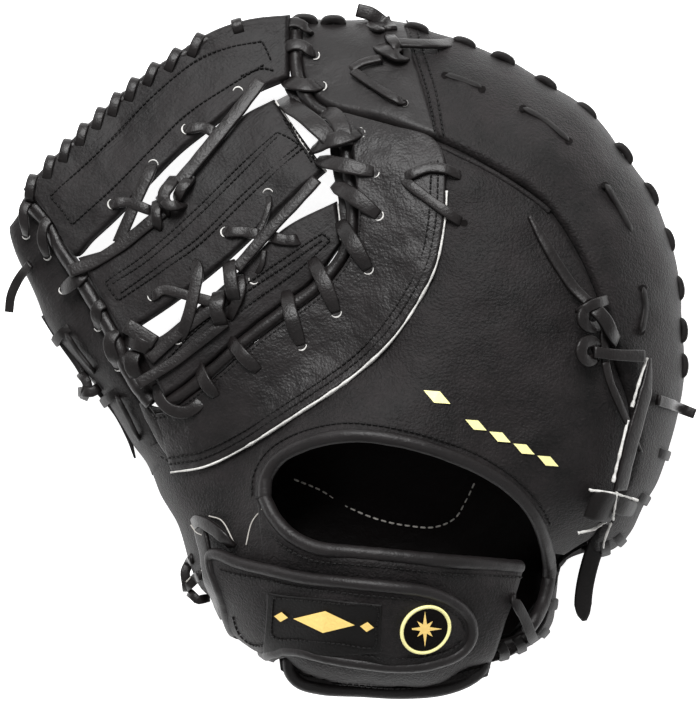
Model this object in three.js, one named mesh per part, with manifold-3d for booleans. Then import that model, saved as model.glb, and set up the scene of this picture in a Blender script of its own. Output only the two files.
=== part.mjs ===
// A first baseman's mitt for a left-handed thrower, lying palm down on a flat surface.
// Millimetres. X runs from the web (-) to the little finger (+), Y from the heel (-) to the
// fingertips (+), Z up from the surface. The hollow underneath is the ball pocket.
import * as THREE from "three";
import { mergeVertices } from "three/addons/utils/BufferGeometryUtils.js";
import Module from "manifold-3d";

const wasm = await Module();
wasm.setup();

// Overall form
const MITT_WIDTH = 313;
const MITT_LENGTH = 313;
const MITT_HEIGHT = 100;
const RIM_HEIGHT = 12; // lower edge of the back leather above the surface
const WRIST_LIFT = 40; // how much higher the wrist band's lower edge stands
const BACK_ROLL = 62; // how far in from the rim the back is rounded over
const POCKET_RISE = 105; // how far in from the rim the palm rises
const REST_WIDTH = 7; // flat ring of the palm that lies on the surface

// Leather
const PALM_THICKNESS = 5;
const LINING_THICKNESS = 1.2;
const BACK_THICKNESS = 2.5;
const BAND_THICKNESS = 4.5;
const OVERLAY_THICKNESS = 2.2;
const WEB_THICKNESS = 4;
const STRAP_THICKNESS = 3;
const STRIP_THICKNESS = 2.4;

// Laces and rolled bindings
const LACE_WIDTH = 4.6;
const LACE_THICKNESS = 2.2;
const TUBE_RADIUS = 2.7;
const CORE_RADIUS = 1.8;
const BINDING_RADIUS = 3;
const STRAP_BINDING_RADIUS = 2.3;
const RIM_LOOP_PITCH = 25;
const WHIP_INSET = 1; // how far the middle of the web's edge lacing is set in from the edge
const WEB_WRAP_PITCH = 11;
const TUBE_WRAP_PITCH = 26;
const BADGE_RADIUS = 11.5;
const BADGE_THICKNESS = 2;
const PATCH_THICKNESS = 0.8;

// Clearances
const SEAM_GAP = 0.35; // between pieces sewn or laced edge to edge
const CURVED_SEAM_GAP = 2 * SEAM_GAP; // between curved edges that are divided differently
const LAYER_GAP = 1; // between leathers that lie on each other
const LINING_GAP = 1.4; // between the palm and its lining, which are curved and divided differently
const LACE_LIFT = 0.75; // between a lace and the curved leather that it lies on
const STRIP_LIFT = 1.2; // between a wide strip and the curved leather that it lies on
const EDGE_INSET = BAND_THICKNESS + LACE_THICKNESS / 2 + SEAM_GAP;
const LACED_EDGE = TUBE_RADIUS + LACE_THICKNESS + SEAM_GAP; // from a round lace's line to the leather

const LEATHER = { color: 0x323030, roughness: 0.75, metalness: 0 };
const GLOSSY = { color: 0x464240, roughness: 0.5, metalness: 0 };
const DARK = { color: 0x120e0d, roughness: 0.8, metalness: 0 };
const LACE = { color: 0x3a3837, roughness: 0.45, metalness: 0 };
const GOLD = { color: 0xd8c060, roughness: 0.5, metalness: 0.2 };

// Outline of the whole mitt in plan, clockwise from the thumb tip: [x / width, y / length]
const OUTLINE = [
  [-0.493, 0.201], [-0.475, 0.244], [-0.438, 0.279], [-0.401, 0.318], [-0.357, 0.36],
  [-0.303, 0.407], [-0.248, 0.443], [-0.197, 0.47], [-0.146, 0.486], [-0.095, 0.493],
  [-0.036, 0.493], [0.018, 0.492], [0.073, 0.486], [0.117, 0.475], [0.16, 0.461],
  [0.204, 0.445], [0.242, 0.427], [0.286, 0.401], [0.335, 0.363], [0.372, 0.328],
  [0.411, 0.281], [0.44, 0.238], [0.464, 0.187], [0.48, 0.128], [0.487, 0.07],
  [0.49, 0.012], [0.486, -0.047], [0.475, -0.098], [0.459, -0.149], [0.445, -0.185],
  [0.43, -0.222], [0.408, -0.258], [0.376, -0.287], [0.335, -0.302], [0.309, -0.319],
  [0.302, -0.36], [0.292, -0.392], [0.271, -0.421], [0.233, -0.448], [0.187, -0.477],
  [0.131, -0.497], [0.058, -0.505], [-0.015, -0.5], [-0.073, -0.489], [-0.117, -0.459],
  [-0.16, -0.43], [-0.197, -0.386], [-0.228, -0.346], [-0.242, -0.302], [-0.251, -0.251],
  [-0.273, -0.211], [-0.292, -0.163], [-0.318, -0.127], [-0.365, -0.069], [-0.401, -0.022],
  [-0.438, 0.041], [-0.467, 0.095], [-0.486, 0.15],
];

// Heights of palm and back well inside the rim: [x / width, y / length, palm / height, back / height]
const FORM = [
  [-0.47, 0.21, 0.1, 0.2],
  [-0.41, 0.08, 0.26, 0.4],
  [-0.35, -0.06, 0.36, 0.55],
  [-0.26, -0.2, 0.44, 0.7],
  [-0.16, -0.36, 0.44, 0.86],
  [0.05, -0.42, 0.42, 0.98],
  [0.24, -0.4, 0.44, 0.86],
  [0.04, -0.2, 0.52, 1.0],
  [0.3, -0.15, 0.46, 0.84],
  [0.18, 0.05, 0.54, 0.92],
  [0.38, 0.05, 0.42, 0.8],
  [0.1, 0.2, 0.52, 0.84],
  [0.28, 0.22, 0.44, 0.78],
  [0.16, 0.36, 0.4, 0.66],
  [0.03, 0.4, 0.32, 0.48],
  [-0.07, 0.46, 0.22, 0.32],
  [-0.03, 0.24, 0.5, 0.62],
  [0.0, 0.15, 0.56, 0.72],
  [-0.12, 0.03, 0.54, 0.7],
  [-0.25, -0.05, 0.46, 0.6],
];
const PALM = 2;
const BACK = 3;

// Height of the web: [x / width, y / length, web / height]
const WEB_FORM = [
  [-0.47, 0.22, 0.22],
  [-0.33, 0.37, 0.22],
  [-0.19, 0.46, 0.25],
  [-0.08, 0.47, 0.24],
  [-0.08, 0.37, 0.44],
  [-0.03, 0.25, 0.6],
  [0.0, 0.15, 0.68],
  [-0.12, 0.04, 0.66],
  [-0.25, -0.05, 0.58],
  [-0.34, 0.03, 0.5],
  [-0.41, 0.13, 0.38],
  [-0.3, 0.18, 0.46],
  [-0.18, 0.28, 0.46],
  [-0.18, 0.1, 0.58],
];
const FORM_REACH = 0.115; // share of the width over which one row of these tables is felt

// Seams and edges in plan: [x / width, y / length]
const FINGER_SIDE = [
  [-0.079, 0.48], [-0.078, 0.439], [-0.074, 0.393], [-0.054, 0.351], [-0.021, 0.325],
  [-0.007, 0.295], [0.0, 0.245], [0.005, 0.199], [-0.003, 0.148], [-0.042, 0.096],
  [-0.088, 0.061], [-0.141, 0.021], [-0.192, -0.024], [-0.233, -0.056], [-0.259, -0.072],
];
const THUMB_SIDE = [
  [-0.466, 0.221], [-0.433, 0.186], [-0.415, 0.151], [-0.388, 0.112], [-0.363, 0.072],
  [-0.332, 0.021], [-0.314, -0.021], [-0.291, -0.056], [-0.279, -0.07],
];
// The web's whole edge, from the thumb tip round the crotch to the fingertip
const WEB_LINE = [...THUMB_SIDE.slice(0, -2), [-0.287, -0.068], ...[...FINGER_SIDE].reverse().slice(1)];
const CREASE_TIP = [[-0.013, 0.344], [0.043, 0.321], [0.127, 0.297]];
const TIP_INNER = [
  [-0.069, 0.46], [-0.065, 0.42], [-0.046, 0.37], [-0.01, 0.339], [0.043, 0.321], [0.127, 0.297],
];
const CREASE = [
  [0.127, 0.297], [0.211, 0.252], [0.275, 0.206], [0.321, 0.137], [0.352, 0.063],
  [0.37, -0.01], [0.394, -0.084], [0.387, -0.161], [0.362, -0.218], [0.35, -0.258],
];
const BACK_INNER = [
  [0.0, 0.33], [0.092, 0.293], [0.117, 0.238], [0.118, 0.18], [0.107, 0.122],
  [0.076, 0.063], [0.037, 0.013], [-0.028, -0.046], [-0.098, -0.094], [-0.122, -0.15], [-0.126, -0.205],
];
const BACK_OUTER_END = [[0.33, -0.272], [0.31, -0.286]];
const OPENING_TOP = [
  [-0.117, -0.204], [-0.115, -0.176], [-0.098, -0.15], [-0.062, -0.13], [0.0, -0.116],
  [0.069, -0.122], [0.125, -0.138], [0.182, -0.162], [0.224, -0.188], [0.255, -0.221],
  [0.275, -0.266], [0.283, -0.316], [0.271, -0.363], [0.25, -0.395],
];
const OPENING_LOWER = [
  [-0.117, -0.204], [-0.104, -0.229], [-0.081, -0.253], [-0.045, -0.27], [0.007, -0.276],
  [0.069, -0.282], [0.154, -0.291], [0.237, -0.302],
];
const CRESCENT_OUTER = [
  [-0.006, 0.331], [0.064, 0.309], [0.112, 0.282], [0.133, 0.236], [0.132, 0.175],
  [0.121, 0.119], [0.095, 0.07], [0.056, 0.017], [0.0, -0.037], [-0.07, -0.086],
  [-0.142, -0.13], [-0.2, -0.158], [-0.245, -0.166],
];
const THUMB_ROOT = [-0.258, -0.15];
const THUMB_BASE_INNER = [
  [-0.125, -0.096], [-0.1, -0.125], [-0.102, -0.165], [-0.112, -0.207], [-0.1, -0.264],
  [-0.085, -0.335], [-0.075, -0.43],
];
const RADIAL_SEAM = [[0.077, 0.484], [0.098, 0.422], [0.117, 0.361], [0.127, 0.297]];
const BAND_LOWER = [
  [-0.094, -0.448], [-0.071, -0.468], [0.0, -0.473], [0.071, -0.478], [0.136, -0.472], [0.186, -0.456],
];
const HEEL_INNER = [[0.293, -0.31], [0.288, -0.335], [0.277, -0.37], [0.258, -0.402], [0.21, -0.438]];
const STRAP_UPPER = [
  [-0.184, -0.286], [-0.141, -0.292], [-0.07, -0.306], [0.0, -0.312], [0.069, -0.319],
  [0.12, -0.33], [0.157, -0.351], [0.175, -0.378],
];
const STRAP_LOWER = [
  [-0.172, -0.392], [-0.131, -0.411], [-0.07, -0.422], [0.0, -0.433], [0.07, -0.441],
  [0.126, -0.436], [0.16, -0.417], [0.176, -0.391],
];
const WEB_TOP_EDGE = [
  [-0.468, 0.232], [-0.43, 0.272], [-0.396, 0.306], [-0.352, 0.348], [-0.299, 0.394],
  [-0.245, 0.429], [-0.195, 0.455], [-0.145, 0.471], [-0.093, 0.478],
];
const OUTER_BAR_LOWER = [
  [-0.424, 0.187], [-0.402, 0.15], [-0.359, 0.17], [-0.302, 0.225], [-0.244, 0.285],
  [-0.194, 0.325], [-0.144, 0.367], [-0.088, 0.392],
];
const MIDDLE_BAR_UPPER = [[-0.39, 0.128], [-0.316, 0.162], [-0.236, 0.234], [-0.175, 0.308], [-0.108, 0.362]];
const MIDDLE_BAR_LOWER = [[-0.325, 0.024], [-0.25, 0.076], [-0.178, 0.13], [-0.085, 0.213], [-0.033, 0.258]];
const INNER_BAR_UPPER = [[-0.304, 0.002], [-0.235, 0.05], [-0.164, 0.107], [-0.092, 0.172], [-0.018, 0.213]];
const LINING_LEFT = [[-0.15, -0.07], [-0.15, -0.2], [-0.12, -0.33], [-0.09, -0.4]];
const LINING_RIGHT = [[0.31, -0.1], [0.33, -0.2], [0.3, -0.3], [0.23, -0.4]];
const PATCH_UPPER = [[-0.115, -0.332], [0.042, -0.337]];
const PATCH_LOWER = [[-0.112, -0.405], [0.042, -0.411]];
const BADGE_PLACE = [0.105, -0.385];

const clamp01 = (value) => Math.min(Math.max(value, 0), 1);
const smooth = (from, to, value) => {
  const t = clamp01((value - from) / (to - from));
  return t * t * (3 - 2 * t);
};

// A smooth curve through shares of the plan, as evenly spaced points
function planCurve(shares, steps, closed = false) {
  const points = shares.map(([x, y]) => new THREE.Vector3(x * MITT_WIDTH, y * MITT_LENGTH, 0));
  const curve = new THREE.CatmullRomCurve3(points, closed, "centripetal");
  curve.arcLengthDivisions = 600;
  const spaced = curve.getSpacedPoints(steps);
  return closed ? spaced.slice(0, -1) : spaced;
}

// The same curve moved sideways in plan, to the right of its direction
function offsetCurve(curve, distance, closed = false) {
  const last = curve.length - 1;
  return curve.map((point, i) => {
    const before = curve[closed ? (i + last) % curve.length : Math.max(i - 1, 0)];
    const after = curve[closed ? (i + 1) % curve.length : Math.min(i + 1, last)];
    const along = after.clone().sub(before).normalize();
    return new THREE.Vector3(point.x + along.y * distance, point.y - along.x * distance, 0);
  });
}

const RIM_STEPS = 150;
const silhouette = planCurve(OUTLINE, RIM_STEPS, true);
const rim = offsetCurve(silhouette, EDGE_INSET, true);

// How far a plan point lies inside the rim, 0 on it and outside
function depthInside(x, y) {
  let nearest = Infinity;
  let inside = false;
  for (let i = 0, j = rim.length - 1; i < rim.length; j = i++) {
    const a = rim[j];
    const b = rim[i];
    const dx = b.x - a.x;
    const dy = b.y - a.y;
    const t = clamp01(((x - a.x) * dx + (y - a.y) * dy) / (dx * dx + dy * dy));
    nearest = Math.min(nearest, Math.hypot(x - a.x - t * dx, y - a.y - t * dy));
    if (a.y > y !== b.y > y && x < ((b.x - a.x) * (y - a.y)) / (b.y - a.y) + a.x) inside = !inside;
  }
  return inside ? nearest : 0;
}

// A height blended from the rows of a table by their distance
function blend(x, y, table, column) {
  let sum = 0;
  let weights = 0;
  for (const row of table) {
    const away = ((x / MITT_WIDTH - row[0]) ** 2 + (y / MITT_LENGTH - row[1]) ** 2) / FORM_REACH ** 2;
    const weight = Math.exp(-away);
    sum += weight * row[column];
    weights += weight;
  }
  return (sum / weights) * MITT_HEIGHT;
}

// The back's lower edge, which stands higher under the wrist
function edgeHeight(x, y) {
  const atHeel = smooth(-0.3, -0.44, y / MITT_LENGTH);
  const across = smooth(-0.2, -0.09, x / MITT_WIDTH) * smooth(0.27, 0.17, x / MITT_WIDTH);
  return RIM_HEIGHT + WRIST_LIFT * atHeel * across;
}

// Inner face of the back: a quarter ellipse from its edge up to the blended height
function backHeight(x, y) {
  const t = clamp01(depthInside(x, y) / BACK_ROLL);
  const low = edgeHeight(x, y);
  return low + (blend(x, y, FORM, BACK) - low) * Math.sqrt(1 - (1 - t) ** 2);
}

// Lower face of the palm: flat at the rim, then a parabola up to the blended height
function palmHeight(x, y) {
  const t = clamp01((depthInside(x, y) - REST_WIDTH) / POCKET_RISE);
  return blend(x, y, FORM, PALM) * (1 - (1 - t) ** 2);
}

const webHeight = (x, y) => blend(x, y, WEB_FORM, 2);

// A point at a distance above a surface, measured along the surface's normal
const PROBE = 0.5;
function normalAt(surface, x, y) {
  const slopeX = (surface(x + PROBE, y) - surface(x - PROBE, y)) / (2 * PROBE);
  const slopeY = (surface(x, y + PROBE) - surface(x, y - PROBE)) / (2 * PROBE);
  return new THREE.Vector3(-slopeX, -slopeY, 1).normalize();
}
function above(surface, x, y, distance) {
  return new THREE.Vector3(x, y, surface(x, y)).addScaledVector(normalAt(surface, x, y), distance);
}

// Solids from points and triangles
function solidOf(points, triangles) {
  let volume = 0;
  for (const [a, b, c] of triangles) volume += points[a].dot(points[b].clone().cross(points[c]));
  const faces = volume < 0 ? triangles.map(([a, b, c]) => [a, c, b]) : triangles;
  const vertProperties = new Float32Array(points.flatMap((point) => [point.x, point.y, point.z]));
  const mesh = new wasm.Mesh({ numProp: 3, vertProperties, triVerts: new Uint32Array(faces.flat()) });
  return new wasm.Manifold(mesh);
}
function solidFromGeometry(geometry) {
  geometry.deleteAttribute("normal");
  geometry.deleteAttribute("uv");
  const merged = mergeVertices(geometry, 1e-4);
  const vertProperties = new Float32Array(merged.attributes.position.array);
  const triVerts = new Uint32Array(merged.index.array);
  return new wasm.Manifold(new wasm.Mesh({ numProp: 3, vertProperties, triVerts }));
}

// A leather sheet between two plan curves. Its lower and upper faces lie low and high above the
// surface. Inset draws its outline in, and grow widens it all round and thickens it well past its
// faces, which makes the clearance that it takes out of its neighbours.
function sheet(surface, from, to, { low, high, across, ease = (t) => t, grow = 0, inset = 0 }) {
  const rows = from.map((start, i) => {
    const end = to[i];
    const length = start.distanceTo(end);
    return Array.from({ length: across + 1 }, (_, j) => start.clone().lerp(end, ease(j / across, length)));
  });
  if (grow !== inset) growGrid(rows, grow - inset);
  const spare = 4 * grow;
  const lower = rows.map((row) => row.map((p) => above(surface, p.x, p.y, low - spare)));
  const upper = rows.map((row) => row.map((p) => above(surface, p.x, p.y, high + spare)));
  return solidBetween(lower, upper);
}
function growGrid(rows, distance) {
  const push = (edge, inner) => edge.addScaledVector(edge.clone().sub(inner).normalize(), distance);
  for (const row of rows) {
    push(row[0], row[1]);
    push(row[row.length - 1], row[row.length - 2]);
  }
  rows[0].forEach((p, j) => push(p, rows[1][j]));
  rows[rows.length - 1].forEach((p, j) => push(p, rows[rows.length - 2][j]));
}
function solidBetween(lower, upper) {
  const long = lower.length;
  const wide = lower[0].length;
  const points = [...lower.flat(), ...upper.flat()];
  const at = (i, j, layer) => layer * long * wide + i * wide + j;
  const triangles = [];
  const quad = (a, b, c, d) => triangles.push([a, b, c], [a, c, d]);
  for (let i = 0; i < long - 1; i++) {
    for (let j = 0; j < wide - 1; j++) {
      quad(at(i, j, 0), at(i, j + 1, 0), at(i + 1, j + 1, 0), at(i + 1, j, 0));
      quad(at(i, j, 1), at(i + 1, j, 1), at(i + 1, j + 1, 1), at(i, j + 1, 1));
    }
    quad(at(i, 0, 0), at(i + 1, 0, 0), at(i + 1, 0, 1), at(i, 0, 1));
    quad(at(i + 1, wide - 1, 0), at(i, wide - 1, 0), at(i, wide - 1, 1), at(i + 1, wide - 1, 1));
  }
  for (let j = 0; j < wide - 1; j++) {
    quad(at(0, j + 1, 0), at(0, j, 0), at(0, j, 1), at(0, j + 1, 1));
    quad(at(long - 1, j, 0), at(long - 1, j + 1, 0), at(long - 1, j + 1, 1), at(long - 1, j, 1));
  }
  return solidOf(points, triangles);
}

// A section carried along points, with its size scaled at each; a section point is [sideways, upwards]
function sweep(points, ups, section, closed = false, scales = points.map(() => 1)) {
  const count = points.length;
  const sides = section.length;
  const vertices = [];
  points.forEach((point, i) => {
    const before = points[closed ? (i + count - 1) % count : Math.max(i - 1, 0)];
    const after = points[closed ? (i + 1) % count : Math.min(i + 1, count - 1)];
    const along = after.clone().sub(before).normalize();
    const side = along.clone().cross(ups[i]).normalize();
    const up = side.clone().cross(along).normalize();
    for (const [a, b] of section) {
      const vertex = point.clone().addScaledVector(side, a * scales[i]).addScaledVector(up, b * scales[i]);
      vertices.push(vertex);
    }
  });
  const triangles = [];
  for (let i = 0; i < (closed ? count : count - 1); i++) {
    for (let k = 0; k < sides; k++) {
      const next = (k + 1) % sides;
      const far = (i + 1) % count;
      triangles.push([i * sides + k, i * sides + next, far * sides + next]);
      triangles.push([i * sides + k, far * sides + next, far * sides + k]);
    }
  }
  if (!closed) {
    for (let k = 1; k < sides - 1; k++) {
      triangles.push([0, k + 1, k]);
      const start = (count - 1) * sides;
      triangles.push([start, start + k, start + k + 1]);
    }
  }
  return solidOf(vertices, triangles);
}
const flatSection = (width, thickness) => [
  [-width / 2, -thickness / 2],
  [width / 2, -thickness / 2],
  [width / 2, thickness / 2],
  [-width / 2, thickness / 2],
];
const roundSection = (radius, sides) =>
  Array.from({ length: sides }, (_, k) => {
    const angle = (2 * Math.PI * (k + 0.5)) / sides;
    return [radius * Math.cos(angle), radius * Math.sin(angle)];
  });

// A flat lace over a surface through rows of [x / width, y / length, height above the surface], with
// its flat side up along the surface's normal, or along a given direction where it leaves the surface
function lace(surface, rows, options = {}) {
  const { width = LACE_WIDTH, thickness = LACE_THICKNESS, step = 5, grow = 0, up } = options;
  const points = rows.map(([x, y, level]) => above(surface, x * MITT_WIDTH, y * MITT_LENGTH, level));
  const curve = new THREE.CatmullRomCurve3(points, false, "centripetal");
  const steps = Math.max(Math.round(curve.getLength() / step), 3);
  const spaced = curve.getSpacedPoints(steps);
  if (grow > 0) {
    spaced[0].add(spaced[0].clone().sub(spaced[1]).setLength(grow));
    spaced[steps].add(spaced[steps].clone().sub(spaced[steps - 1]).setLength(grow));
  }
  const ups = spaced.map((p) => up ?? normalAt(surface, p.x, p.y));
  return sweep(spaced, ups, flatSection(width + 2 * grow, thickness + 2 * grow));
}

// A round lace or rolled binding along a plan curve, at a height above the surface
function tube(surface, curve, level, radius, sides, grow = 0) {
  const points = curve.map((p) => above(surface, p.x, p.y, level));
  if (grow > 0) {
    const last = points.length - 1;
    points[0].add(points[0].clone().sub(points[1]).setLength(grow));
    points[last].add(points[last].clone().sub(points[last - 1]).setLength(grow));
  }
  const ups = curve.map((p) => normalAt(surface, p.x, p.y));
  return sweep(points, ups, roundSection(radius + grow, sides));
}

const lengthOf = (curve) =>
  curve.slice(1).reduce((sum, point, i) => sum + point.distanceTo(curve[i]), 0);
function pointAlong(curve, share) {
  const index = Math.min(Math.floor(share * (curve.length - 1)), curve.length - 2);
  return curve[index].clone().lerp(curve[index + 1], share * (curve.length - 1) - index);
}

// Evenly spaced shares of a curve, a pitch apart
function pitched(curve, pitch) {
  const count = Math.max(Math.round(lengthOf(curve) / pitch), 1);
  return Array.from({ length: count }, (_, k) => (k + 0.5) / count);
}

// A round lace with flat turns of lace wound tightly round it, where its radius steps up
const TURN_RADIUS = 4.4;
const TURN_EDGE = 0.4; // length over which the side of a turn rises
function wrappedTube(surface, curve, level, pitch, grow) {
  const length = lengthOf(curve);
  const half = LACE_WIDTH / 2;
  const turns = pitched(curve, pitch).map((share) => share * length);
  const rings = curve
    .map((_, i) => [(i / (curve.length - 1)) * length, TUBE_RADIUS])
    .filter(([along]) => turns.every((turn) => Math.abs(turn - along) > LACE_WIDTH));
  for (const turn of turns) {
    rings.push([turn - half - grow, TUBE_RADIUS], [turn - half - grow + TURN_EDGE, TURN_RADIUS]);
    rings.push([turn + half + grow - TURN_EDGE, TURN_RADIUS], [turn + half + grow, TUBE_RADIUS]);
  }
  rings.sort((a, b) => a[0] - b[0]);
  const plan = rings.map(([along]) => pointAlong(curve, along / length));
  const points = plan.map((p) => above(surface, p.x, p.y, level));
  const last = points.length - 1;
  if (grow > 0) {
    points[0].add(points[0].clone().sub(points[1]).setLength(grow));
    points[last].add(points[last].clone().sub(points[last - 1]).setLength(grow));
  }
  const ups = plan.map((p) => normalAt(surface, p.x, p.y));
  return sweep(points, ups, roundSection(1, 6), false, rings.map(([, radius]) => radius + grow));
}

// A flat lace whipped round the edge of a sheet: an elliptical helix about a line set in from it
const TURN_STEPS = 6;
const TURN_SPAN = 0.01; // share of the line over which its direction is taken
function whipLace(surface, curve, level, pitch, { reach, rise, grow }) {
  const turns = Math.round(lengthOf(curve) / pitch);
  const points = [];
  const outwards = [];
  for (let k = 0; k <= turns * TURN_STEPS; k++) {
    const share = k / (turns * TURN_STEPS);
    const at = pointAlong(curve, share);
    const before = pointAlong(curve, Math.max(share - TURN_SPAN, 0));
    const along = pointAlong(curve, Math.min(share + TURN_SPAN, 1)).sub(before);
    const up = normalAt(surface, at.x, at.y);
    const out = up.clone().cross(along).normalize();
    const angle = (2 * Math.PI * k) / TURN_STEPS;
    const offset = out.multiplyScalar(reach * Math.cos(angle)).addScaledVector(up, rise * Math.sin(angle));
    points.push(above(surface, at.x, at.y, level).add(offset));
    outwards.push(offset.clone().normalize());
  }
  return sweep(points, outwards, flatSection(LACE_WIDTH + 2 * grow, LACE_THICKNESS + 2 * grow));
}

// A tied knot, as a rounded lump on a surface
function knot(surface, [x, y], level, [wide, long, high], angle) {
  const lump = new THREE.SphereGeometry(1, 8, 5);
  lump.scale(wide / 2, long / 2, high / 2);
  lump.rotateZ(angle);
  const at = above(surface, x * MITT_WIDTH, y * MITT_LENGTH, level);
  const tilt = new THREE.Quaternion().setFromUnitVectors(
    new THREE.Vector3(0, 0, 1),
    normalAt(surface, x * MITT_WIDTH, y * MITT_LENGTH),
  );
  lump.applyQuaternion(tilt);
  lump.translate(at.x, at.y, at.z);
  return solidFromGeometry(lump);
}

// The part of the rim between two shares of its way round, without the web's outer edge
function rimBetween(from, to, steps) {
  return Array.from({ length: steps + 1 }, (_, i) => {
    const place = (from + ((to - from) * i) / steps) * rim.length;
    const index = Math.floor(place);
    const a = rim[((index % rim.length) + rim.length) % rim.length];
    const b = rim[(((index + 1) % rim.length) + rim.length) % rim.length];
    return a.clone().lerp(b, place - index);
  });
}
function rimShareNear([x, y]) {
  let best = 0;
  rim.forEach((p, i) => {
    const away = Math.hypot(p.x - x * MITT_WIDTH, p.y - y * MITT_LENGTH);
    if (away < Math.hypot(rim[best].x - x * MITT_WIDTH, rim[best].y - y * MITT_LENGTH)) best = i;
  });
  return best / rim.length;
}
const rimTip = rimShareNear([-0.07, 0.484]);
const rimSeam = rimShareNear(RADIAL_SEAM[0]);
const RIM_SEAM_SHARE = 0.001; // share of the way round that the seam across the band leaves open
const rimWaist = rimShareNear([0.343, -0.278]);
const rimHeelRight = rimShareNear([0.2, -0.46]);
const rimThumbRoot = rimShareNear([-0.292, -0.177]);
const rimThumbTip = rimShareNear([-0.475, 0.19]) - 1;
const rimHeelLeft = rimShareNear([-0.11, -0.45]);

// Pieces by name: the solid, its finish, and what takes its clearance out of which
const pieces = new Map();
const finishes = new Map();
function place(name, solid, finish) {
  pieces.set(name, solid);
  finishes.set(name, finish);
}
function cutAll(names, cutter) {
  for (const name of names) pieces.set(name, pieces.get(name).subtract(cutter));
}

// Curved spacing: fine where the leather rolls over the rim
const fineAtEnd = (t) => Math.sin((t * Math.PI) / 2) * 0.75 + t * 0.25;

// Heights of things above the inner face of the back, or above the web's lower face
const UNDER = -2.6;
const onTopOf = (leather, thickness = LACE_THICKNESS, lift = LACE_LIFT) => leather + lift + thickness / 2;
const ON_BACK = onTopOf(BACK_THICKNESS);
const ON_BAND = onTopOf(BAND_THICKNESS);
const OVERLAY_LOW = BACK_THICKNESS + LAYER_GAP;
const ON_OVERLAY = onTopOf(OVERLAY_LOW + OVERLAY_THICKNESS);
const ON_WEB = onTopOf(WEB_THICKNESS);
const OVER_WEB_LACE = ON_WEB + LACE_THICKNESS + 3 * LACE_LIFT;
const STRAP_LOW = BACK_THICKNESS / 2 + BINDING_RADIUS;
const STRAP_TOP = STRAP_LOW + STRAP_THICKNESS;

function makePalm() {
  const steps = 38;
  const web = offsetCurve(planCurve(WEB_LINE, steps), LACED_EDGE);
  const edge = offsetCurve(rimBetween(rimThumbTip + 1, rimTip, steps), BACK_THICKNESS);
  const across = 7;
  const restRing = REST_WIDTH + BACK_THICKNESS - PROBE;
  const risingRing = 2 * restRing;
  // The last row of cells is the flat ring, and the row before it is short where the palm bends up
  const ease = (t, length) => {
    const row = Math.round(t * across);
    if (row === across) return 1;
    if (row === across - 1) return 1 - Math.min(restRing / length, 0.3);
    return (row / (across - 2)) * (1 - Math.min(risingRing / length, 0.6));
  };
  const size = { low: 0, high: PALM_THICKNESS, across, ease };
  place("palm_shell", sheet(palmHeight, web, edge, size), LEATHER);

  const low = PALM_THICKNESS + LINING_GAP;
  const lining = { low, high: low + LINING_THICKNESS, across: 8 };
  const left = planCurve(LINING_LEFT, 7);
  const right = planCurve(LINING_RIGHT, 7);
  place("palm_lining", sheet(palmHeight, left, right, lining), DARK);
}

// The hand opening between its two rolled bindings, as an upright prism
function openingPrism() {
  const top = planCurve(OPENING_TOP, 24);
  const lower = planCurve(OPENING_LOWER, 12).reverse();
  const outline = new THREE.Shape([...top, ...lower].map((p) => new THREE.Vector2(p.x, p.y)));
  const prism = new THREE.ExtrudeGeometry(outline, { depth: 2 * MITT_HEIGHT, bevelEnabled: false });
  return solidFromGeometry(prism);
}

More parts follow.
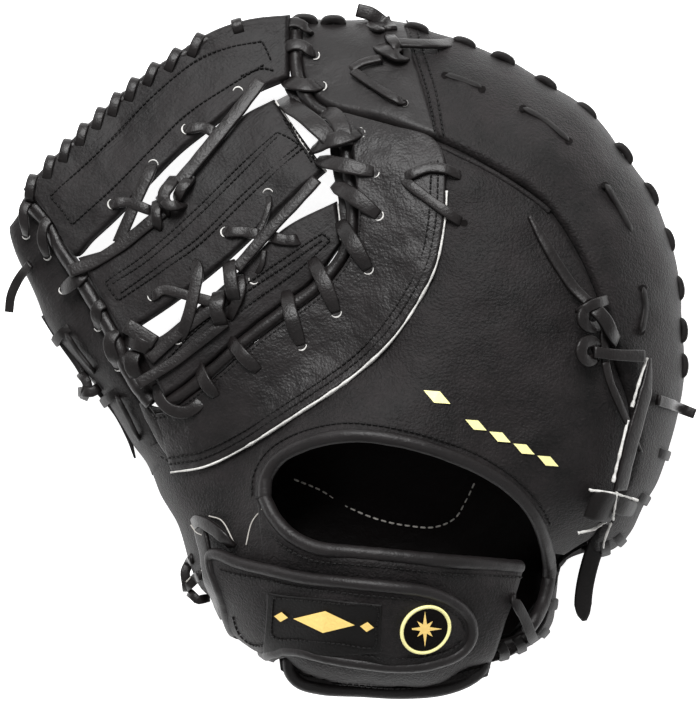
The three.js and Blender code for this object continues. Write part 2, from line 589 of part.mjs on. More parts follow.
function makeBack() {
  const rolled = { low: 0, high: BAND_THICKNESS, across: 5, ease: fineAtEnd };
  const thin = { low: 0, high: BACK_THICKNESS, across: 4, ease: fineAtEnd };
  const even = { low: 0, high: BACK_THICKNESS };
  const crease = planCurve(CREASE, 17);
  const creaseLine = [...planCurve(CREASE_TIP, 3).slice(0, -1), ...crease, ...planCurve(BACK_OUTER_END, 1)];
  const underCrease = offsetCurve(creaseLine, CURVED_SEAM_GAP);
  const belowOpening = offsetCurve(planCurve(OPENING_LOWER, 12), BINDING_RADIUS + CURVED_SEAM_GAP + SEAM_GAP);
  const panels = {
    finger_band: [CREASE, rimBetween(rimSeam, rimWaist, 17), rolled, []],
    fingertip_panel: [TIP_INNER, rimBetween(rimTip, rimSeam - RIM_SEAM_SHARE, 8), rolled, ["finger_band"]],
    back_panel: [BACK_INNER, underCrease, { ...even, across: 6 }, ["fingertip_panel", "finger_band"]],
    wrist_band: [null, planCurve(BAND_LOWER, 12), { ...even, across: 5 }, []],
    thumb_panel: [null, rimBetween(rimThumbTip + 1, rimThumbRoot, 12), thin, []],
    thumb_base: [
      THUMB_BASE_INNER, rimBetween(rimThumbRoot, rimHeelLeft, 10), { ...thin, across: 6 },
      ["thumb_panel", "wrist_band", "back_panel"],
    ],
    heel_panel: [HEEL_INNER, rimBetween(rimWaist, rimHeelRight, 6), { ...thin, across: 3 }, ["back_panel"]],
  };
  const thumbLine = offsetCurve(planCurve(THUMB_SIDE, 11), LACED_EDGE);
  const thumbRoot = new THREE.Vector3(THUMB_ROOT[0] * MITT_WIDTH, THUMB_ROOT[1] * MITT_LENGTH, 0);
  const starts = { wrist_band: belowOpening, thumb_panel: [...thumbLine, thumbRoot] };
  const grown = {};
  for (const [name, [inner, outer, size, neighbours]] of Object.entries(panels)) {
    const from = starts[name] ?? planCurve(inner, outer.length - 1);
    let panel = sheet(backHeight, from, outer, size);
    for (const neighbour of neighbours) panel = panel.subtract(grown[neighbour]);
    place(name, panel, name === "fingertip_panel" || name === "thumb_panel" ? GLOSSY : LEATHER);
    grown[name] = sheet(backHeight, from, outer, { ...size, grow: SEAM_GAP });
  }
  const crescent = {
    low: OVERLAY_LOW,
    high: OVERLAY_LOW + OVERLAY_THICKNESS,
    across: 3,
  };
  const inner = offsetCurve(planCurve([...FINGER_SIDE.slice(4), [-0.272, -0.074]], 22), -LACED_EDGE);
  const outer = planCurve(CRESCENT_OUTER, 22);
  place("thumb_crescent", sheet(backHeight, inner, outer, crescent), GLOSSY);
}

function makeWeb() {
  const bars = [
    ["web_outer_bar", WEB_TOP_EDGE, OUTER_BAR_LOWER, 12],
    ["web_middle_bar", MIDDLE_BAR_UPPER, MIDDLE_BAR_LOWER, 9],
  ];
  const size = { low: 0, high: WEB_THICKNESS, across: 2 };
  for (const [name, upper, lower, steps] of bars) {
    place(name, sheet(webHeight, planCurve(upper, steps), planCurve(lower, steps), size), LEATHER);
  }
  const crotch = offsetCurve(planCurve(FINGER_SIDE.slice(8).reverse(), 9), -LACED_EDGE);
  place("web_inner_bar", sheet(webHeight, planCurve(INNER_BAR_UPPER, 9), crotch, size), LEATHER);
}

// Puts a lace or binding in place, after cutting its clearance out of the leather it passes
function lacePiece(name, make, passes, finish = LACE) {
  cutAll(passes, make(SEAM_GAP));
  place(name, make(0), finish);
}

function makeWebLacing() {
  const line = (x, y) => (backHeight(x, y) + webHeight(x, y)) / 2;
  const level = BACK_THICKNESS / 2;
  const fingerSide = planCurve(FINGER_SIDE, 24);
  const thumbSide = planCurve(THUMB_SIDE, 12);
  const leathers = [
    "back_panel", "fingertip_panel", "thumb_panel", "thumb_crescent",
    "web_outer_bar", "web_middle_bar", "web_inner_bar",
  ];
  const wound = (curve) => (grow) => wrappedTube(line, curve, level, TUBE_WRAP_PITCH, grow);
  lacePiece("lace_finger_side", wound(fingerSide), leathers);
  lacePiece("lace_thumb_side", wound(thumbSide), [...leathers, "lace_finger_side"]);
  const edge = offsetCurve(planCurve(WEB_TOP_EDGE, 12), WHIP_INSET);
  const whip = { reach: WEB_THICKNESS + SEAM_GAP, rise: WEB_THICKNESS + 3 * SEAM_GAP };
  lacePiece(
    "web_edge_lacing",
    (grow) => whipLace(webHeight, edge, WEB_THICKNESS / 2, WEB_WRAP_PITCH, { ...whip, grow }),
    ["web_outer_bar", "lace_finger_side", "lace_thumb_side"],
  );
}

// The lace that runs on the palm inside the rim, with a loop out under the back's lower edge and
// in again through a hole above it every so often. The loop is a rectangle with cut corners in the
// upright plane across the rim.
const RIM_LACE_HEIGHT = PALM_THICKNESS + CURVED_SEAM_GAP + CORE_RADIUS;
const LOOP_IN = -CORE_RADIUS - LACE_THICKNESS;
const LOOP_OUT = BAND_THICKNESS + LACE_LIFT + LACE_THICKNESS / 2;
const LOOP_TOP = RIM_HEIGHT + LACE_WIDTH;
const LOOP_CORNER = 1.6;
function rimLoop(at, outwards, grow) {
  const profile = [
    [LOOP_IN, LOOP_TOP - LOOP_CORNER], [LOOP_IN + LOOP_CORNER, LOOP_TOP],
    [LOOP_OUT - LOOP_CORNER, LOOP_TOP], [LOOP_OUT, LOOP_TOP - LOOP_CORNER],
    [LOOP_OUT, RIM_LACE_HEIGHT + LOOP_CORNER], [LOOP_OUT - LOOP_CORNER, RIM_LACE_HEIGHT],
    [LOOP_IN, RIM_LACE_HEIGHT],
  ];
  const middle = at.clone().setZ((RIM_LACE_HEIGHT + LOOP_TOP) / 2);
  const points = profile.map(([out, high]) => at.clone().addScaledVector(outwards, out).setZ(high));
  const ups = points.map((p) => p.clone().sub(middle).normalize());
  return sweep(points, ups, flatSection(LACE_WIDTH + 2 * grow, LACE_THICKNESS + 2 * grow), true);
}
function rimLacing(from, to, steps, pitch, grow) {
  const curve = rimBetween(from, to, steps);
  const core = offsetCurve(curve, -LOOP_IN);
  let solid = tube(() => RIM_LACE_HEIGHT, core, 0, CORE_RADIUS, 4, grow);
  for (const share of pitched(curve, pitch)) {
    const at = pointAlong(curve, share);
    const along = pointAlong(curve, share + TURN_SPAN).sub(at).normalize();
    solid = solid.add(rimLoop(at, new THREE.Vector3(-along.y, along.x, 0), grow));
  }
  return solid;
}

function makeRimLacing() {
  lacePiece(
    "rim_lacing_fingers",
    (grow) => rimLacing(rimTip, rimWaist, 32, RIM_LOOP_PITCH, grow),
    ["finger_band", "fingertip_panel"],
  );
  lacePiece(
    "rim_lacing_thumb",
    (grow) => rimLacing(rimHeelLeft, rimThumbTip + 1 - 0.03, 20, 1.6 * RIM_LOOP_PITCH, grow),
    ["palm_shell", "thumb_panel", "thumb_base"],
  );
}

function makeBindings() {
  const level = BACK_THICKNESS / 2;
  const prism = openingPrism();
  cutAll(["back_panel", "thumb_base", "heel_panel"], prism);
  const top = planCurve(OPENING_TOP, 24);
  const lower = planCurve(OPENING_LOWER, 12);
  const wrist = planCurve(BAND_LOWER, 12);
  const round = (curve) => (grow) => tube(backHeight, curve, level, BINDING_RADIUS, 6, grow);
  const edges = ["back_panel", "thumb_base", "heel_panel"];
  lacePiece("opening_binding", round(top), edges, GLOSSY);
  lacePiece("opening_lower_binding", round(lower), [...edges, "opening_binding"], GLOSSY);
  lacePiece("wrist_band_binding", round(wrist), ["wrist_band", "thumb_base", "heel_panel"], GLOSSY);
}

function makeStrap() {
  const steps = 12;
  const inset = STRAP_BINDING_RADIUS + CURVED_SEAM_GAP + SEAM_GAP;
  const size = { low: STRAP_LOW, high: STRAP_TOP, across: 4, inset };
  const strap = sheet(backHeight, planCurve(STRAP_UPPER, steps), planCurve(STRAP_LOWER, steps), size);
  place("wrist_strap", strap, LEATHER);
  const round = planCurve([...STRAP_UPPER, ...[...STRAP_LOWER].reverse()], 34, true);
  const middle = (STRAP_LOW + STRAP_TOP) / 2;
  const binding = (grow) => {
    const points = round.map((p) => above(backHeight, p.x, p.y, middle));
    const ups = round.map((p) => normalAt(backHeight, p.x, p.y));
    return sweep(points, ups, roundSection(STRAP_BINDING_RADIUS + grow, 6), true);
  };
  lacePiece("strap_binding", binding, ["thumb_base"], GLOSSY);

  const low = STRAP_TOP + LACE_LIFT;
  const patchSize = { low, high: low + PATCH_THICKNESS, across: 3 };
  const patch = sheet(backHeight, planCurve(PATCH_UPPER, 6), planCurve(PATCH_LOWER, 6), patchSize);
  place("strap_patch", patch, LEATHER);

  const badge = new THREE.CylinderGeometry(BADGE_RADIUS, BADGE_RADIUS, BADGE_THICKNESS, 24);
  const [x, y] = [BADGE_PLACE[0] * MITT_WIDTH, BADGE_PLACE[1] * MITT_LENGTH];
  const up = normalAt(backHeight, x, y);
  badge.applyQuaternion(new THREE.Quaternion().setFromUnitVectors(new THREE.Vector3(0, 1, 0), up));
  const at = above(backHeight, x, y, low + BADGE_THICKNESS / 2);
  badge.translate(at.x, at.y, at.z);
  place("strap_badge", solidFromGeometry(badge), GOLD);
}

function makeShortLaces() {
  const down = 0.008; // plan share in which a lace dives into its hole
  const staple = ([fromX, fromY], [toX, toY], level, middle) => {
    const away = Math.hypot(toX - fromX, toY - fromY);
    const x = ((toX - fromX) / away) * down;
    const y = ((toY - fromY) / away) * down;
    const between = middle ? [[...middle, level]] : [];
    return [
      [fromX, fromY, UNDER], [fromX + x, fromY + y, level], ...between,
      [toX - x, toY - y, level], [toX, toY, UNDER],
    ];
  };
  const onBack = (name, rows, passes, options = {}) =>
    lacePiece(name, (grow) => lace(backHeight, rows, { step: 3, ...options, grow }), passes);
  onBack("finger_lace_1", staple([0.134, 0.4], [0.192, 0.378], ON_BAND), ["finger_band"]);
  onBack("finger_lace_2", staple([0.244, 0.352], [0.315, 0.299], ON_BAND, [0.285, 0.325]), ["finger_band"]);
  onBack("finger_lace_3", staple([0.36, 0.244], [0.402, 0.166], ON_BAND, [0.384, 0.212]), ["finger_band"]);
  onBack("finger_lace_4", staple([0.415, 0.098], [0.411, 0.024], ON_BAND, [0.42, 0.064]), ["finger_band"]);
  const crease = [
    [0.166, 0.241, UNDER], [0.157, 0.245, ON_BACK], [0.127, 0.26, ON_OVERLAY + 1],
    [0.106, 0.26, ON_OVERLAY], [0.077, 0.246, ON_OVERLAY], [0.112, 0.215, ON_OVERLAY],
    [0.134, 0.2, ON_OVERLAY + 1], [0.157, 0.183, ON_BACK], [0.164, 0.177, UNDER],
  ];
  onBack("crease_lace", crease, ["back_panel", "thumb_crescent"]);
  const tie = [
    [0.083, 0.35, UNDER], [0.077, 0.356, ON_BAND], [0.037, 0.385, ON_BAND], [0.003, 0.404, ON_BAND],
    [0.012, 0.418, ON_BAND], [0.049, 0.424, ON_BAND], [0.06, 0.445, ON_BAND], [0.1, 0.45, ON_BAND],
    [0.155, 0.437, ON_BAND],
  ];
  const tieLace = (grow) =>
    lace(backHeight, tie, { grow, step: 3.5 }).add(
      knot(backHeight, [0.055, 0.438], ON_BAND + 0.6, [9 + 2 * grow, 12 + 2 * grow, 5 + 2 * grow], 0.5),
    );
  lacePiece("fingertip_tie", tieLace, ["fingertip_panel", "finger_band"]);
  const tail = [[0.051, 0.462, UNDER], [0.045, 0.468, ON_BAND], [0.03, 0.48, 6], [0.014, 0.498, 7]];
  onBack("fingertip_tail", tail, ["fingertip_panel", "rim_lacing_fingers"]);
  onBack("wrist_side_lace", staple([0.22, -0.33], [0.276, -0.425], 6, [0.25, -0.38]), [
    "wrist_band", "heel_panel", "opening_binding",
  ]);
}

function makeWebLaces() {
  const onWeb = (rows, options) => lace(webHeight, rows, options);
  const bars = ["web_outer_bar", "web_middle_bar", "web_inner_bar"];
  const wide = LACE_WIDTH * 1.3;
  const at = (rows, level) => rows.map(([x, y]) => [x, y, level]);
  const upperTail = at([[-0.126, 0.392], [-0.158, 0.356], [-0.208, 0.294], [-0.246, 0.239]], OVER_WEB_LACE);
  const upperStrap = at([[-0.25, 0.222], [-0.286, 0.193], [-0.329, 0.153], [-0.38, 0.128]], ON_WEB);
  const upperThin = at([[-0.283, 0.27], [-0.322, 0.198], [-0.337, 0.15]], ON_WEB);
  const upper = (grow) =>
    onWeb(upperTail, { grow, width: wide, step: 6 })
      .add(knot(webHeight, [-0.247, 0.226], ON_WEB + 2, [17 + 2 * grow, 16 + 2 * grow, 8 + 2 * grow], 0.6))
      .add(onWeb(upperStrap, { grow, width: wide, step: 6 }))
      .add(onWeb(upperThin, { grow, step: 6 }));
  const lowerTail = at([[-0.045, 0.248], [-0.071, 0.221], [-0.114, 0.177], [-0.165, 0.106]], OVER_WEB_LACE);
  const lowerStrap = at([[-0.182, 0.06], [-0.205, 0.034], [-0.242, 0.004], [-0.286, -0.024]], ON_WEB);
  const lowerThin = [
    [-0.228, 0.132, OVER_WEB_LACE], [-0.235, 0.075, OVER_WEB_LACE], [-0.247, 0.002, ON_WEB],
  ];
  const lower = (grow) =>
    onWeb(lowerTail, { grow, width: wide, step: 6 })
      .add(knot(webHeight, [-0.176, 0.085], ON_WEB + 2, [13 + 2 * grow, 24 + 2 * grow, 8 + 2 * grow], 0.1))
      .add(onWeb(lowerStrap, { grow, width: wide, step: 6 }))
      .add(onWeb(lowerThin, { grow, step: 6 }));
  const dive = 0.008; // plan share in which a lace dives into its hole
  const stub = (from, to) => {
    const along = Math.sign(to[0] - from[0]) * dive;
    const rows = [
      [...from, UNDER], [from[0] + along, from[1], ON_WEB], [to[0] - along, to[1], ON_WEB], [...to, UNDER],
    ];
    return (grow) => onWeb(rows, { grow, step: 3 });
  };
  lacePiece("web_lace_upper", upper, [...bars, "lace_thumb_side", "lace_finger_side"]);
  lacePiece("web_lace_lower", lower, [...bars, "lace_thumb_side", "lace_finger_side"]);
  lacePiece("web_stub_upper", stub([-0.234, 0.328], [-0.168, 0.298]), bars);
  lacePiece("web_stub_middle", stub([-0.178, 0.176], [-0.138, 0.168]), bars);
  lacePiece("web_stub_inner", stub([-0.112, 0.178], [-0.072, 0.15]), bars);
  lacePiece("web_stub_lower", stub([-0.283, 0.092], [-0.204, 0.07]), bars);
}

function makeSideLaces() {
  const long = [
    [0.246, 0.2, UNDER], [0.252, 0.191, ON_BACK], [0.275, 0.156, ON_BACK], [0.294, 0.116, ON_BACK],
    [0.32, 0.08, ON_BACK], [0.345, 0.05, ON_BAND],
  ];
  const short = [[0.35, 0.03, ON_BAND], [0.365, 0.003, ON_BAND], [0.423, -0.008, ON_BAND]];
  const side = (grow) =>
    lace(backHeight, long, { grow, step: 4 })
      .add(knot(backHeight, [0.354, 0.047], ON_BAND + 1, [19 + 2 * grow, 15 + 2 * grow, 9 + 2 * grow], -0.5))
      .add(lace(backHeight, short, { grow, step: 5 }));
  lacePiece("side_lace", side, ["back_panel", "finger_band"]);
  const strip = (rows, width) => (grow) =>
    lace(backHeight, rows, { width, thickness: STRIP_THICKNESS, step: 6, grow });
  const onBand = onTopOf(BAND_THICKNESS, STRIP_THICKNESS, STRIP_LIFT);
  const level = (rows) => rows.map(([x, y]) => [x, y, onBand]);
  const narrow = strip(level([[0.361, -0.022], [0.379, -0.066], [0.404, -0.12]]), 3.6);
  const wide = strip(level([[0.438, -0.026], [0.436, -0.06], [0.42, -0.12], [0.402, -0.18]]), 7);
  lacePiece("side_strip_narrow", narrow, ["finger_band", "side_lace"]);
  lacePiece("side_strip", wide, ["finger_band"]);
  const wrap = strip(level([[0.346, -0.208], [0.376, -0.214], [0.405, -0.219]]), 14);
  lacePiece("side_wrap", wrap, ["finger_band", "back_panel"]);
  const hanging = [
    [0.372, -0.25, onBand], [0.36, -0.272, onBand], [0.35, -0.31, -1], [0.343, -0.345, -6],
    [0.338, -0.385, -9.5],
  ];
  const besideTail = ["finger_band", "back_panel", "side_wrap", "rim_lacing_fingers"];
  lacePiece("side_tail", strip(hanging, 11), besideTail);
  const out = [
    [0.425, -0.07, onBand], [0.44, -0.0725, onBand], [0.479, -0.0805, 26], [0.4985, -0.084, 18],
  ];
  lacePiece(
    "side_lace_tail",
    (grow) => lace(backHeight, out, { step: 3.5, grow, up: new THREE.Vector3(0, 0, 1) }),
    ["finger_band", "side_strip", "rim_lacing_fingers"],
  );
}

function makeThumbLaces() {
  // Along the thumb the lace hangs beside the back's lower edge, so its levels count from there
  const beside = 5;
  const along = [
    [-0.478, 0.124, beside], [-0.449, 0.054, beside], [-0.421, 0.016, beside], [-0.394, -0.025, beside],
    [-0.379, -0.044, beside], [-0.348, -0.086, beside], [-0.326, -0.12, beside],
    [-0.304, -0.152, beside], [-0.294, -0.178, 0],
  ];
  const tail = [[-0.478, 0.124, beside], [-0.488, 0.11, 4], [-0.495, 0.09, 1], [-0.498, 0.06, -4]];
  const outer = (grow) =>
    lace(backHeight, along, { grow, step: 6 })
      .add(lace(backHeight, tail, { grow, step: 5 }))
      .add(knot(backHeight, [-0.384, -0.038], beside, [10 + 2 * grow, 12 + 2 * grow, 6 + 2 * grow], 0.6));
  lacePiece("thumb_outer_lace", outer, ["thumb_panel", "thumb_base", "rim_lacing_thumb"]);
  const wrapLevel = onTopOf(BACK_THICKNESS, STRIP_THICKNESS, 3 * STRIP_LIFT);
  const wrap = [
    [-0.214, -0.235, wrapLevel], [-0.209, -0.29, wrapLevel], [-0.2, -0.345, wrapLevel],
    [-0.186, -0.39, wrapLevel],
  ];
  lacePiece(
    "thumb_wrap",
    (grow) => lace(backHeight, wrap, { width: 12, thickness: STRIP_THICKNESS, step: 6, grow }),
    ["thumb_base", "rim_lacing_thumb", "wrist_strap", "strap_binding"],
  );
  const loop = [
    [-0.19, -0.228, UNDER], [-0.183, -0.233, ON_BACK], [-0.152, -0.255, ON_BACK], [-0.144, -0.26, UNDER],
  ];
  const looped = (grow) => lace(backHeight, loop, { step: 3, grow });
  lacePiece("thumb_wrap_loop", looped, ["thumb_base", "thumb_wrap"]);
}

makePalm();
makeBack();
makeWeb();
makeWebLacing();
makeRimLacing();
makeBindings();
makeStrap();
makeShortLaces();
makeWebLaces();
makeSideLaces();
makeThumbLaces();

const group = new THREE.Group();
for (const [name, solid] of pieces) {
  const bodies = solid.decompose().sort((a, b) => b.volume() - a.volume());
  const mesh = bodies[0].getMesh();
  const geometry = new THREE.BufferGeometry();
  geometry.setAttribute("position", new THREE.BufferAttribute(mesh.vertProperties, 3));
  geometry.setIndex(new THREE.BufferAttribute(mesh.triVerts, 1));
  geometry.computeVertexNormals();
  const piece = new THREE.Mesh(geometry, new THREE.MeshStandardMaterial(finishes.get(name)));
  piece.name = name;
  group.add(piece);
}

export default group;
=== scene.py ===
"""First baseman's mitt: the looks of its leather, seams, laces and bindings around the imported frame.

Shapes are worked out in millimetres in the part's own frame and put into meshes in metres. The back,
the palm and the web are heights over the plan; panels are grids between two plan curves on them, and
laces, bindings and edges are sections carried along paths on them. A place given in photograph
pixels is turned into a plan point by the camera's own rays.
"""

import bpy
import numpy as np
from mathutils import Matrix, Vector


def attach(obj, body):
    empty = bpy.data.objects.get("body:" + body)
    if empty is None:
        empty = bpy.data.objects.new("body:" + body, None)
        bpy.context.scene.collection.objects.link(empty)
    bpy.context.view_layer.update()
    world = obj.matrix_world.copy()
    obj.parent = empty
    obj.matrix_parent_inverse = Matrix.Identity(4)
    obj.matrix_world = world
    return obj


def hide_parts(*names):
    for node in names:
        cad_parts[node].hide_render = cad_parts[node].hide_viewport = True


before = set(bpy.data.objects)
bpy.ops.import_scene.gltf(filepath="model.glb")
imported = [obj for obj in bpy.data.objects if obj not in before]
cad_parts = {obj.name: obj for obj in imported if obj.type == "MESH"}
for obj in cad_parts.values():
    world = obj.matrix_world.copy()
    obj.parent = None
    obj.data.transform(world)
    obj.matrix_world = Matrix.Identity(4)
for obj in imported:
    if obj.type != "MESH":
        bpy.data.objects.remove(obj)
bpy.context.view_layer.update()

# Overall form, in millimetres
WIDTH = 313.0
LENGTH = 313.0
HEIGHT = 100.0
RIM_HEIGHT = 12.0
WRIST_LIFT = 40.0
BACK_ROLL = 62.0
POCKET_RISE = 105.0
REST_WIDTH = 7.0
RIM_INSET = 5.95
PALM_THICKNESS = 5.0
LINING_GAP = 1.4
LINING_THICKNESS = 1.2
BACK_THICKNESS = 2.5
BAND_THICKNESS = 4.5
WEB_THICKNESS = 4.0
OVERLAY_LOW = 3.2
OVERLAY_THICKNESS = 2.2
LACE_WIDTH = 4.6
LACE_THICKNESS = 2.0
LACE_STEP = 1.2
TUBE_RADIUS = 3.1
BINDING_RADIUS = 3.1
WRIST_BINDING_RADIUS = 3.0
STRAP_BINDING_RADIUS = 2.7
WELT_RADIUS = 1.3
STRAP_LOW = 4.2
STRAP_THICKNESS = 3.0
STRAP_MIDDLE = STRAP_LOW + STRAP_THICKNESS / 2
STRAP_TOP = STRAP_LOW + STRAP_THICKNESS
OVERLAY_TOP = OVERLAY_LOW + OVERLAY_THICKNESS
LINING_TOP = PALM_THICKNESS + LINING_GAP + LINING_THICKNESS
ORNAMENT_RISE = 0.5

# The camera's rays: how photograph pixels lie over the part
PHOTO_CENTRE = np.array([350.0, 353.0])
PHOTO_SIZE = (700, 706)
MM_PER_PIXEL = 0.45
CAMERA_HEIGHT = 1770.0
REFERENCE_HEIGHT = 40.0

# Outline of the mitt in plan, clockwise from the thumb tip: x / width, y / length
OUTLINE = [
    (-0.513, 0.203), (-0.497, 0.243), (-0.444, 0.284), (-0.404, 0.322), (-0.359, 0.363),
    (-0.303, 0.407), (-0.248, 0.443), (-0.197, 0.47), (-0.146, 0.486), (-0.095, 0.493),
    (-0.036, 0.49), (0.018, 0.489), (0.073, 0.483), (0.116, 0.472), (0.159, 0.458),
    (0.202, 0.442), (0.24, 0.425), (0.284, 0.398), (0.335, 0.364), (0.373, 0.328),
    (0.41, 0.282), (0.439, 0.237), (0.46, 0.186), (0.476, 0.128), (0.484, 0.07),
    (0.487, 0.012), (0.486, -0.047), (0.478, -0.1), (0.463, -0.152), (0.449, -0.188),
    (0.43, -0.222), (0.411, -0.261), (0.38, -0.29), (0.339, -0.3), (0.317, -0.314),
    (0.311, -0.36), (0.303, -0.4), (0.278, -0.43), (0.233, -0.448), (0.174, -0.459),
    (0.127, -0.48), (0.058, -0.487), (-0.012, -0.482), (-0.069, -0.464), (-0.108, -0.436),
    (-0.155, -0.412), (-0.193, -0.376), (-0.228, -0.346), (-0.245, -0.302), (-0.259, -0.254),
    (-0.283, -0.215), (-0.302, -0.167), (-0.326, -0.132), (-0.365, -0.069), (-0.401, -0.022),
    (-0.446, 0.035), (-0.471, 0.092), (-0.499, 0.15),
]

# Heights well inside the rim: x / width, y / length, palm / height, back / height
FORM = np.array([
    (-0.47, 0.21, 0.1, 0.2), (-0.41, 0.08, 0.26, 0.4), (-0.35, -0.06, 0.36, 0.55),
    (-0.26, -0.2, 0.44, 0.7), (-0.16, -0.36, 0.44, 0.86), (0.05, -0.42, 0.42, 0.98),
    (0.24, -0.4, 0.44, 0.86), (0.04, -0.2, 0.52, 1.0), (0.3, -0.15, 0.46, 0.84),
    (0.18, 0.05, 0.54, 0.92), (0.38, 0.05, 0.42, 0.8), (0.1, 0.2, 0.52, 0.84),
    (0.28, 0.22, 0.44, 0.78), (0.16, 0.36, 0.4, 0.66), (0.03, 0.4, 0.32, 0.48),
    (-0.07, 0.46, 0.22, 0.32), (-0.03, 0.24, 0.5, 0.62), (0.0, 0.15, 0.56, 0.72),
    (-0.12, 0.03, 0.54, 0.7), (-0.25, -0.05, 0.46, 0.6),
])
PALM = 2
BACK = 3

# Height of the web: x / width, y / length, web / height
WEB_FORM = np.array([
    (-0.47, 0.22, 0.22), (-0.33, 0.37, 0.22), (-0.19, 0.46, 0.25), (-0.08, 0.47, 0.24),
    (-0.08, 0.37, 0.44), (-0.03, 0.25, 0.6), (0.0, 0.15, 0.68), (-0.12, 0.04, 0.66),
    (-0.25, -0.05, 0.58), (-0.34, 0.03, 0.5), (-0.41, 0.13, 0.38), (-0.3, 0.18, 0.46),
    (-0.18, 0.28, 0.46), (-0.18, 0.1, 0.58),
])
FORM_REACH = 0.115

# Seams and edges in plan: x / width, y / length
FINGER_SIDE = [
    (-0.079, 0.48), (-0.078, 0.439), (-0.074, 0.393), (-0.054, 0.351), (-0.021, 0.325),
    (-0.007, 0.295), (0.0, 0.245), (0.005, 0.199), (-0.003, 0.148), (-0.042, 0.096),
    (-0.088, 0.061), (-0.141, 0.021), (-0.192, -0.024), (-0.233, -0.056), (-0.259, -0.072),
]
THUMB_SIDE = [
    (-0.466, 0.221), (-0.433, 0.186), (-0.415, 0.151), (-0.388, 0.112), (-0.363, 0.072),
    (-0.332, 0.021), (-0.314, -0.021), (-0.291, -0.056), (-0.279, -0.07),
]
WEB_LINE = THUMB_SIDE[:-2] + [(-0.287, -0.068)] + FINGER_SIDE[::-1][1:]
TIP_INNER = [
    (-0.073, 0.46), (-0.071, 0.42), (-0.061, 0.376), (-0.037, 0.35), (0.043, 0.324), (0.127, 0.297),
]
CREASE = [
    (0.127, 0.297), (0.211, 0.252), (0.275, 0.206), (0.321, 0.137), (0.352, 0.063),
    (0.37, -0.01), (0.394, -0.084), (0.387, -0.161), (0.362, -0.218), (0.35, -0.258),
]
BACK_OUTER = [(-0.013, 0.344), (0.043, 0.321)] + CREASE + [(0.33, -0.272), (0.31, -0.286)]
BACK_INNER = [
    (0.0, 0.33), (0.092, 0.293), (0.117, 0.238), (0.118, 0.18), (0.107, 0.122),
    (0.076, 0.063), (0.037, 0.013), (-0.028, -0.046), (-0.098, -0.094), (-0.122, -0.15),
    (-0.126, -0.205),
]
OPENING_TOP = [
    (-0.117, -0.204), (-0.115, -0.176), (-0.098, -0.15), (-0.062, -0.13), (0.0, -0.116),
    (0.069, -0.122), (0.125, -0.138), (0.182, -0.162), (0.224, -0.188), (0.255, -0.221),
    (0.275, -0.266), (0.283, -0.316), (0.271, -0.363), (0.25, -0.395),
]
OPENING_LOWER = [
    (-0.117, -0.204), (-0.104, -0.229), (-0.081, -0.253), (-0.045, -0.27), (0.007, -0.276),
    (0.069, -0.282), (0.154, -0.291), (0.237, -0.302),
]
CRESCENT_OUTER = [
    (-0.006, 0.334), (0.064, 0.314), (0.118, 0.296), (0.134, 0.27), (0.136, 0.225), (0.133, 0.175),
    (0.122, 0.117), (0.098, 0.067), (0.06, 0.011), (0.005, -0.043), (-0.067, -0.092),
    (-0.14, -0.134), (-0.199, -0.16), (-0.245, -0.167),
]
THUMB_ROOT = (-0.258, -0.15)
THUMB_BASE_INNER = [
    (-0.125, -0.096), (-0.1, -0.125), (-0.102, -0.165), (-0.112, -0.207), (-0.1, -0.264),
    (-0.085, -0.335), (-0.075, -0.43),
]
RADIAL_SEAM = [(0.077, 0.484), (0.098, 0.422), (0.117, 0.361), (0.127, 0.297)]
BAND_LOWER = [
    (-0.096, -0.452), (-0.071, -0.474), (0.0, -0.475), (0.071, -0.481), (0.136, -0.476),
    (0.188, -0.462),
]
HEEL_INNER = [(0.293, -0.31), (0.288, -0.335), (0.277, -0.37), (0.258, -0.402), (0.21, -0.438)]
WEB_TOP_EDGE = [
    (-0.472, 0.236), (-0.434, 0.276), (-0.4, 0.31), (-0.356, 0.352), (-0.302, 0.399),
    (-0.248, 0.435), (-0.198, 0.466), (-0.145, 0.483), (-0.0865, 0.489),
]
OUTER_BAR_LOWER = [
    (-0.424, 0.187), (-0.393, 0.138), (-0.367, 0.162), (-0.332, 0.194), (-0.302, 0.225), (-0.244, 0.285),
    (-0.194, 0.325), (-0.144, 0.367), (-0.0865, 0.393),
]
MIDDLE_BAR_UPPER = [(-0.39, 0.136), (-0.326, 0.158), (-0.236, 0.234), (-0.218, 0.268),
                    (-0.175, 0.313), (-0.156, 0.337), (-0.108, 0.363)]
MIDDLE_BAR_LOWER = [(-0.325, 0.021), (-0.25, 0.07), (-0.178, 0.126), (-0.085, 0.213), (-0.033, 0.258)]
INNER_BAR_UPPER = [
    (-0.313, 0.032), (-0.28, 0.02), (-0.235, 0.05), (-0.164, 0.11), (-0.092, 0.177), (-0.018, 0.215),
]
LINING_LEFT = [(-0.15, -0.07), (-0.15, -0.2), (-0.12, -0.33), (-0.09, -0.4)]
LINING_RIGHT = [(0.31, -0.1), (0.33, -0.2), (0.3, -0.3), (0.23, -0.4)]
WELT = [(0.13, 0.286), (0.18, 0.262), (0.225, 0.236), (0.262, 0.21), (0.278, 0.196)]
CROTCH_END = (-0.272, -0.074)

# Places on the rim where one piece ends and the next starts: x / width, y / length
TIP_START = (-0.07, 0.484)
BAND_END = (0.343, -0.278)
HEEL_END = (0.2, -0.46)
HEEL_LACE_START = (0.335, -0.3)
HEEL_LACE_END = (0.19, -0.47)
THUMB_BASE_END = (-0.11, -0.45)
THUMB_LACE_START = (-0.14, -0.42)
THUMB_LACE_END = (-0.46, 0.08)
THUMB_TIP = (-0.475, 0.19)
THUMB_ROOT_RIM = (-0.292, -0.177)
THUMB_ROOT_OVERLAP = (-0.32, -0.14)
THUMB_ROOT_STITCHES = [(-0.24, -0.158), (-0.262, -0.142)]


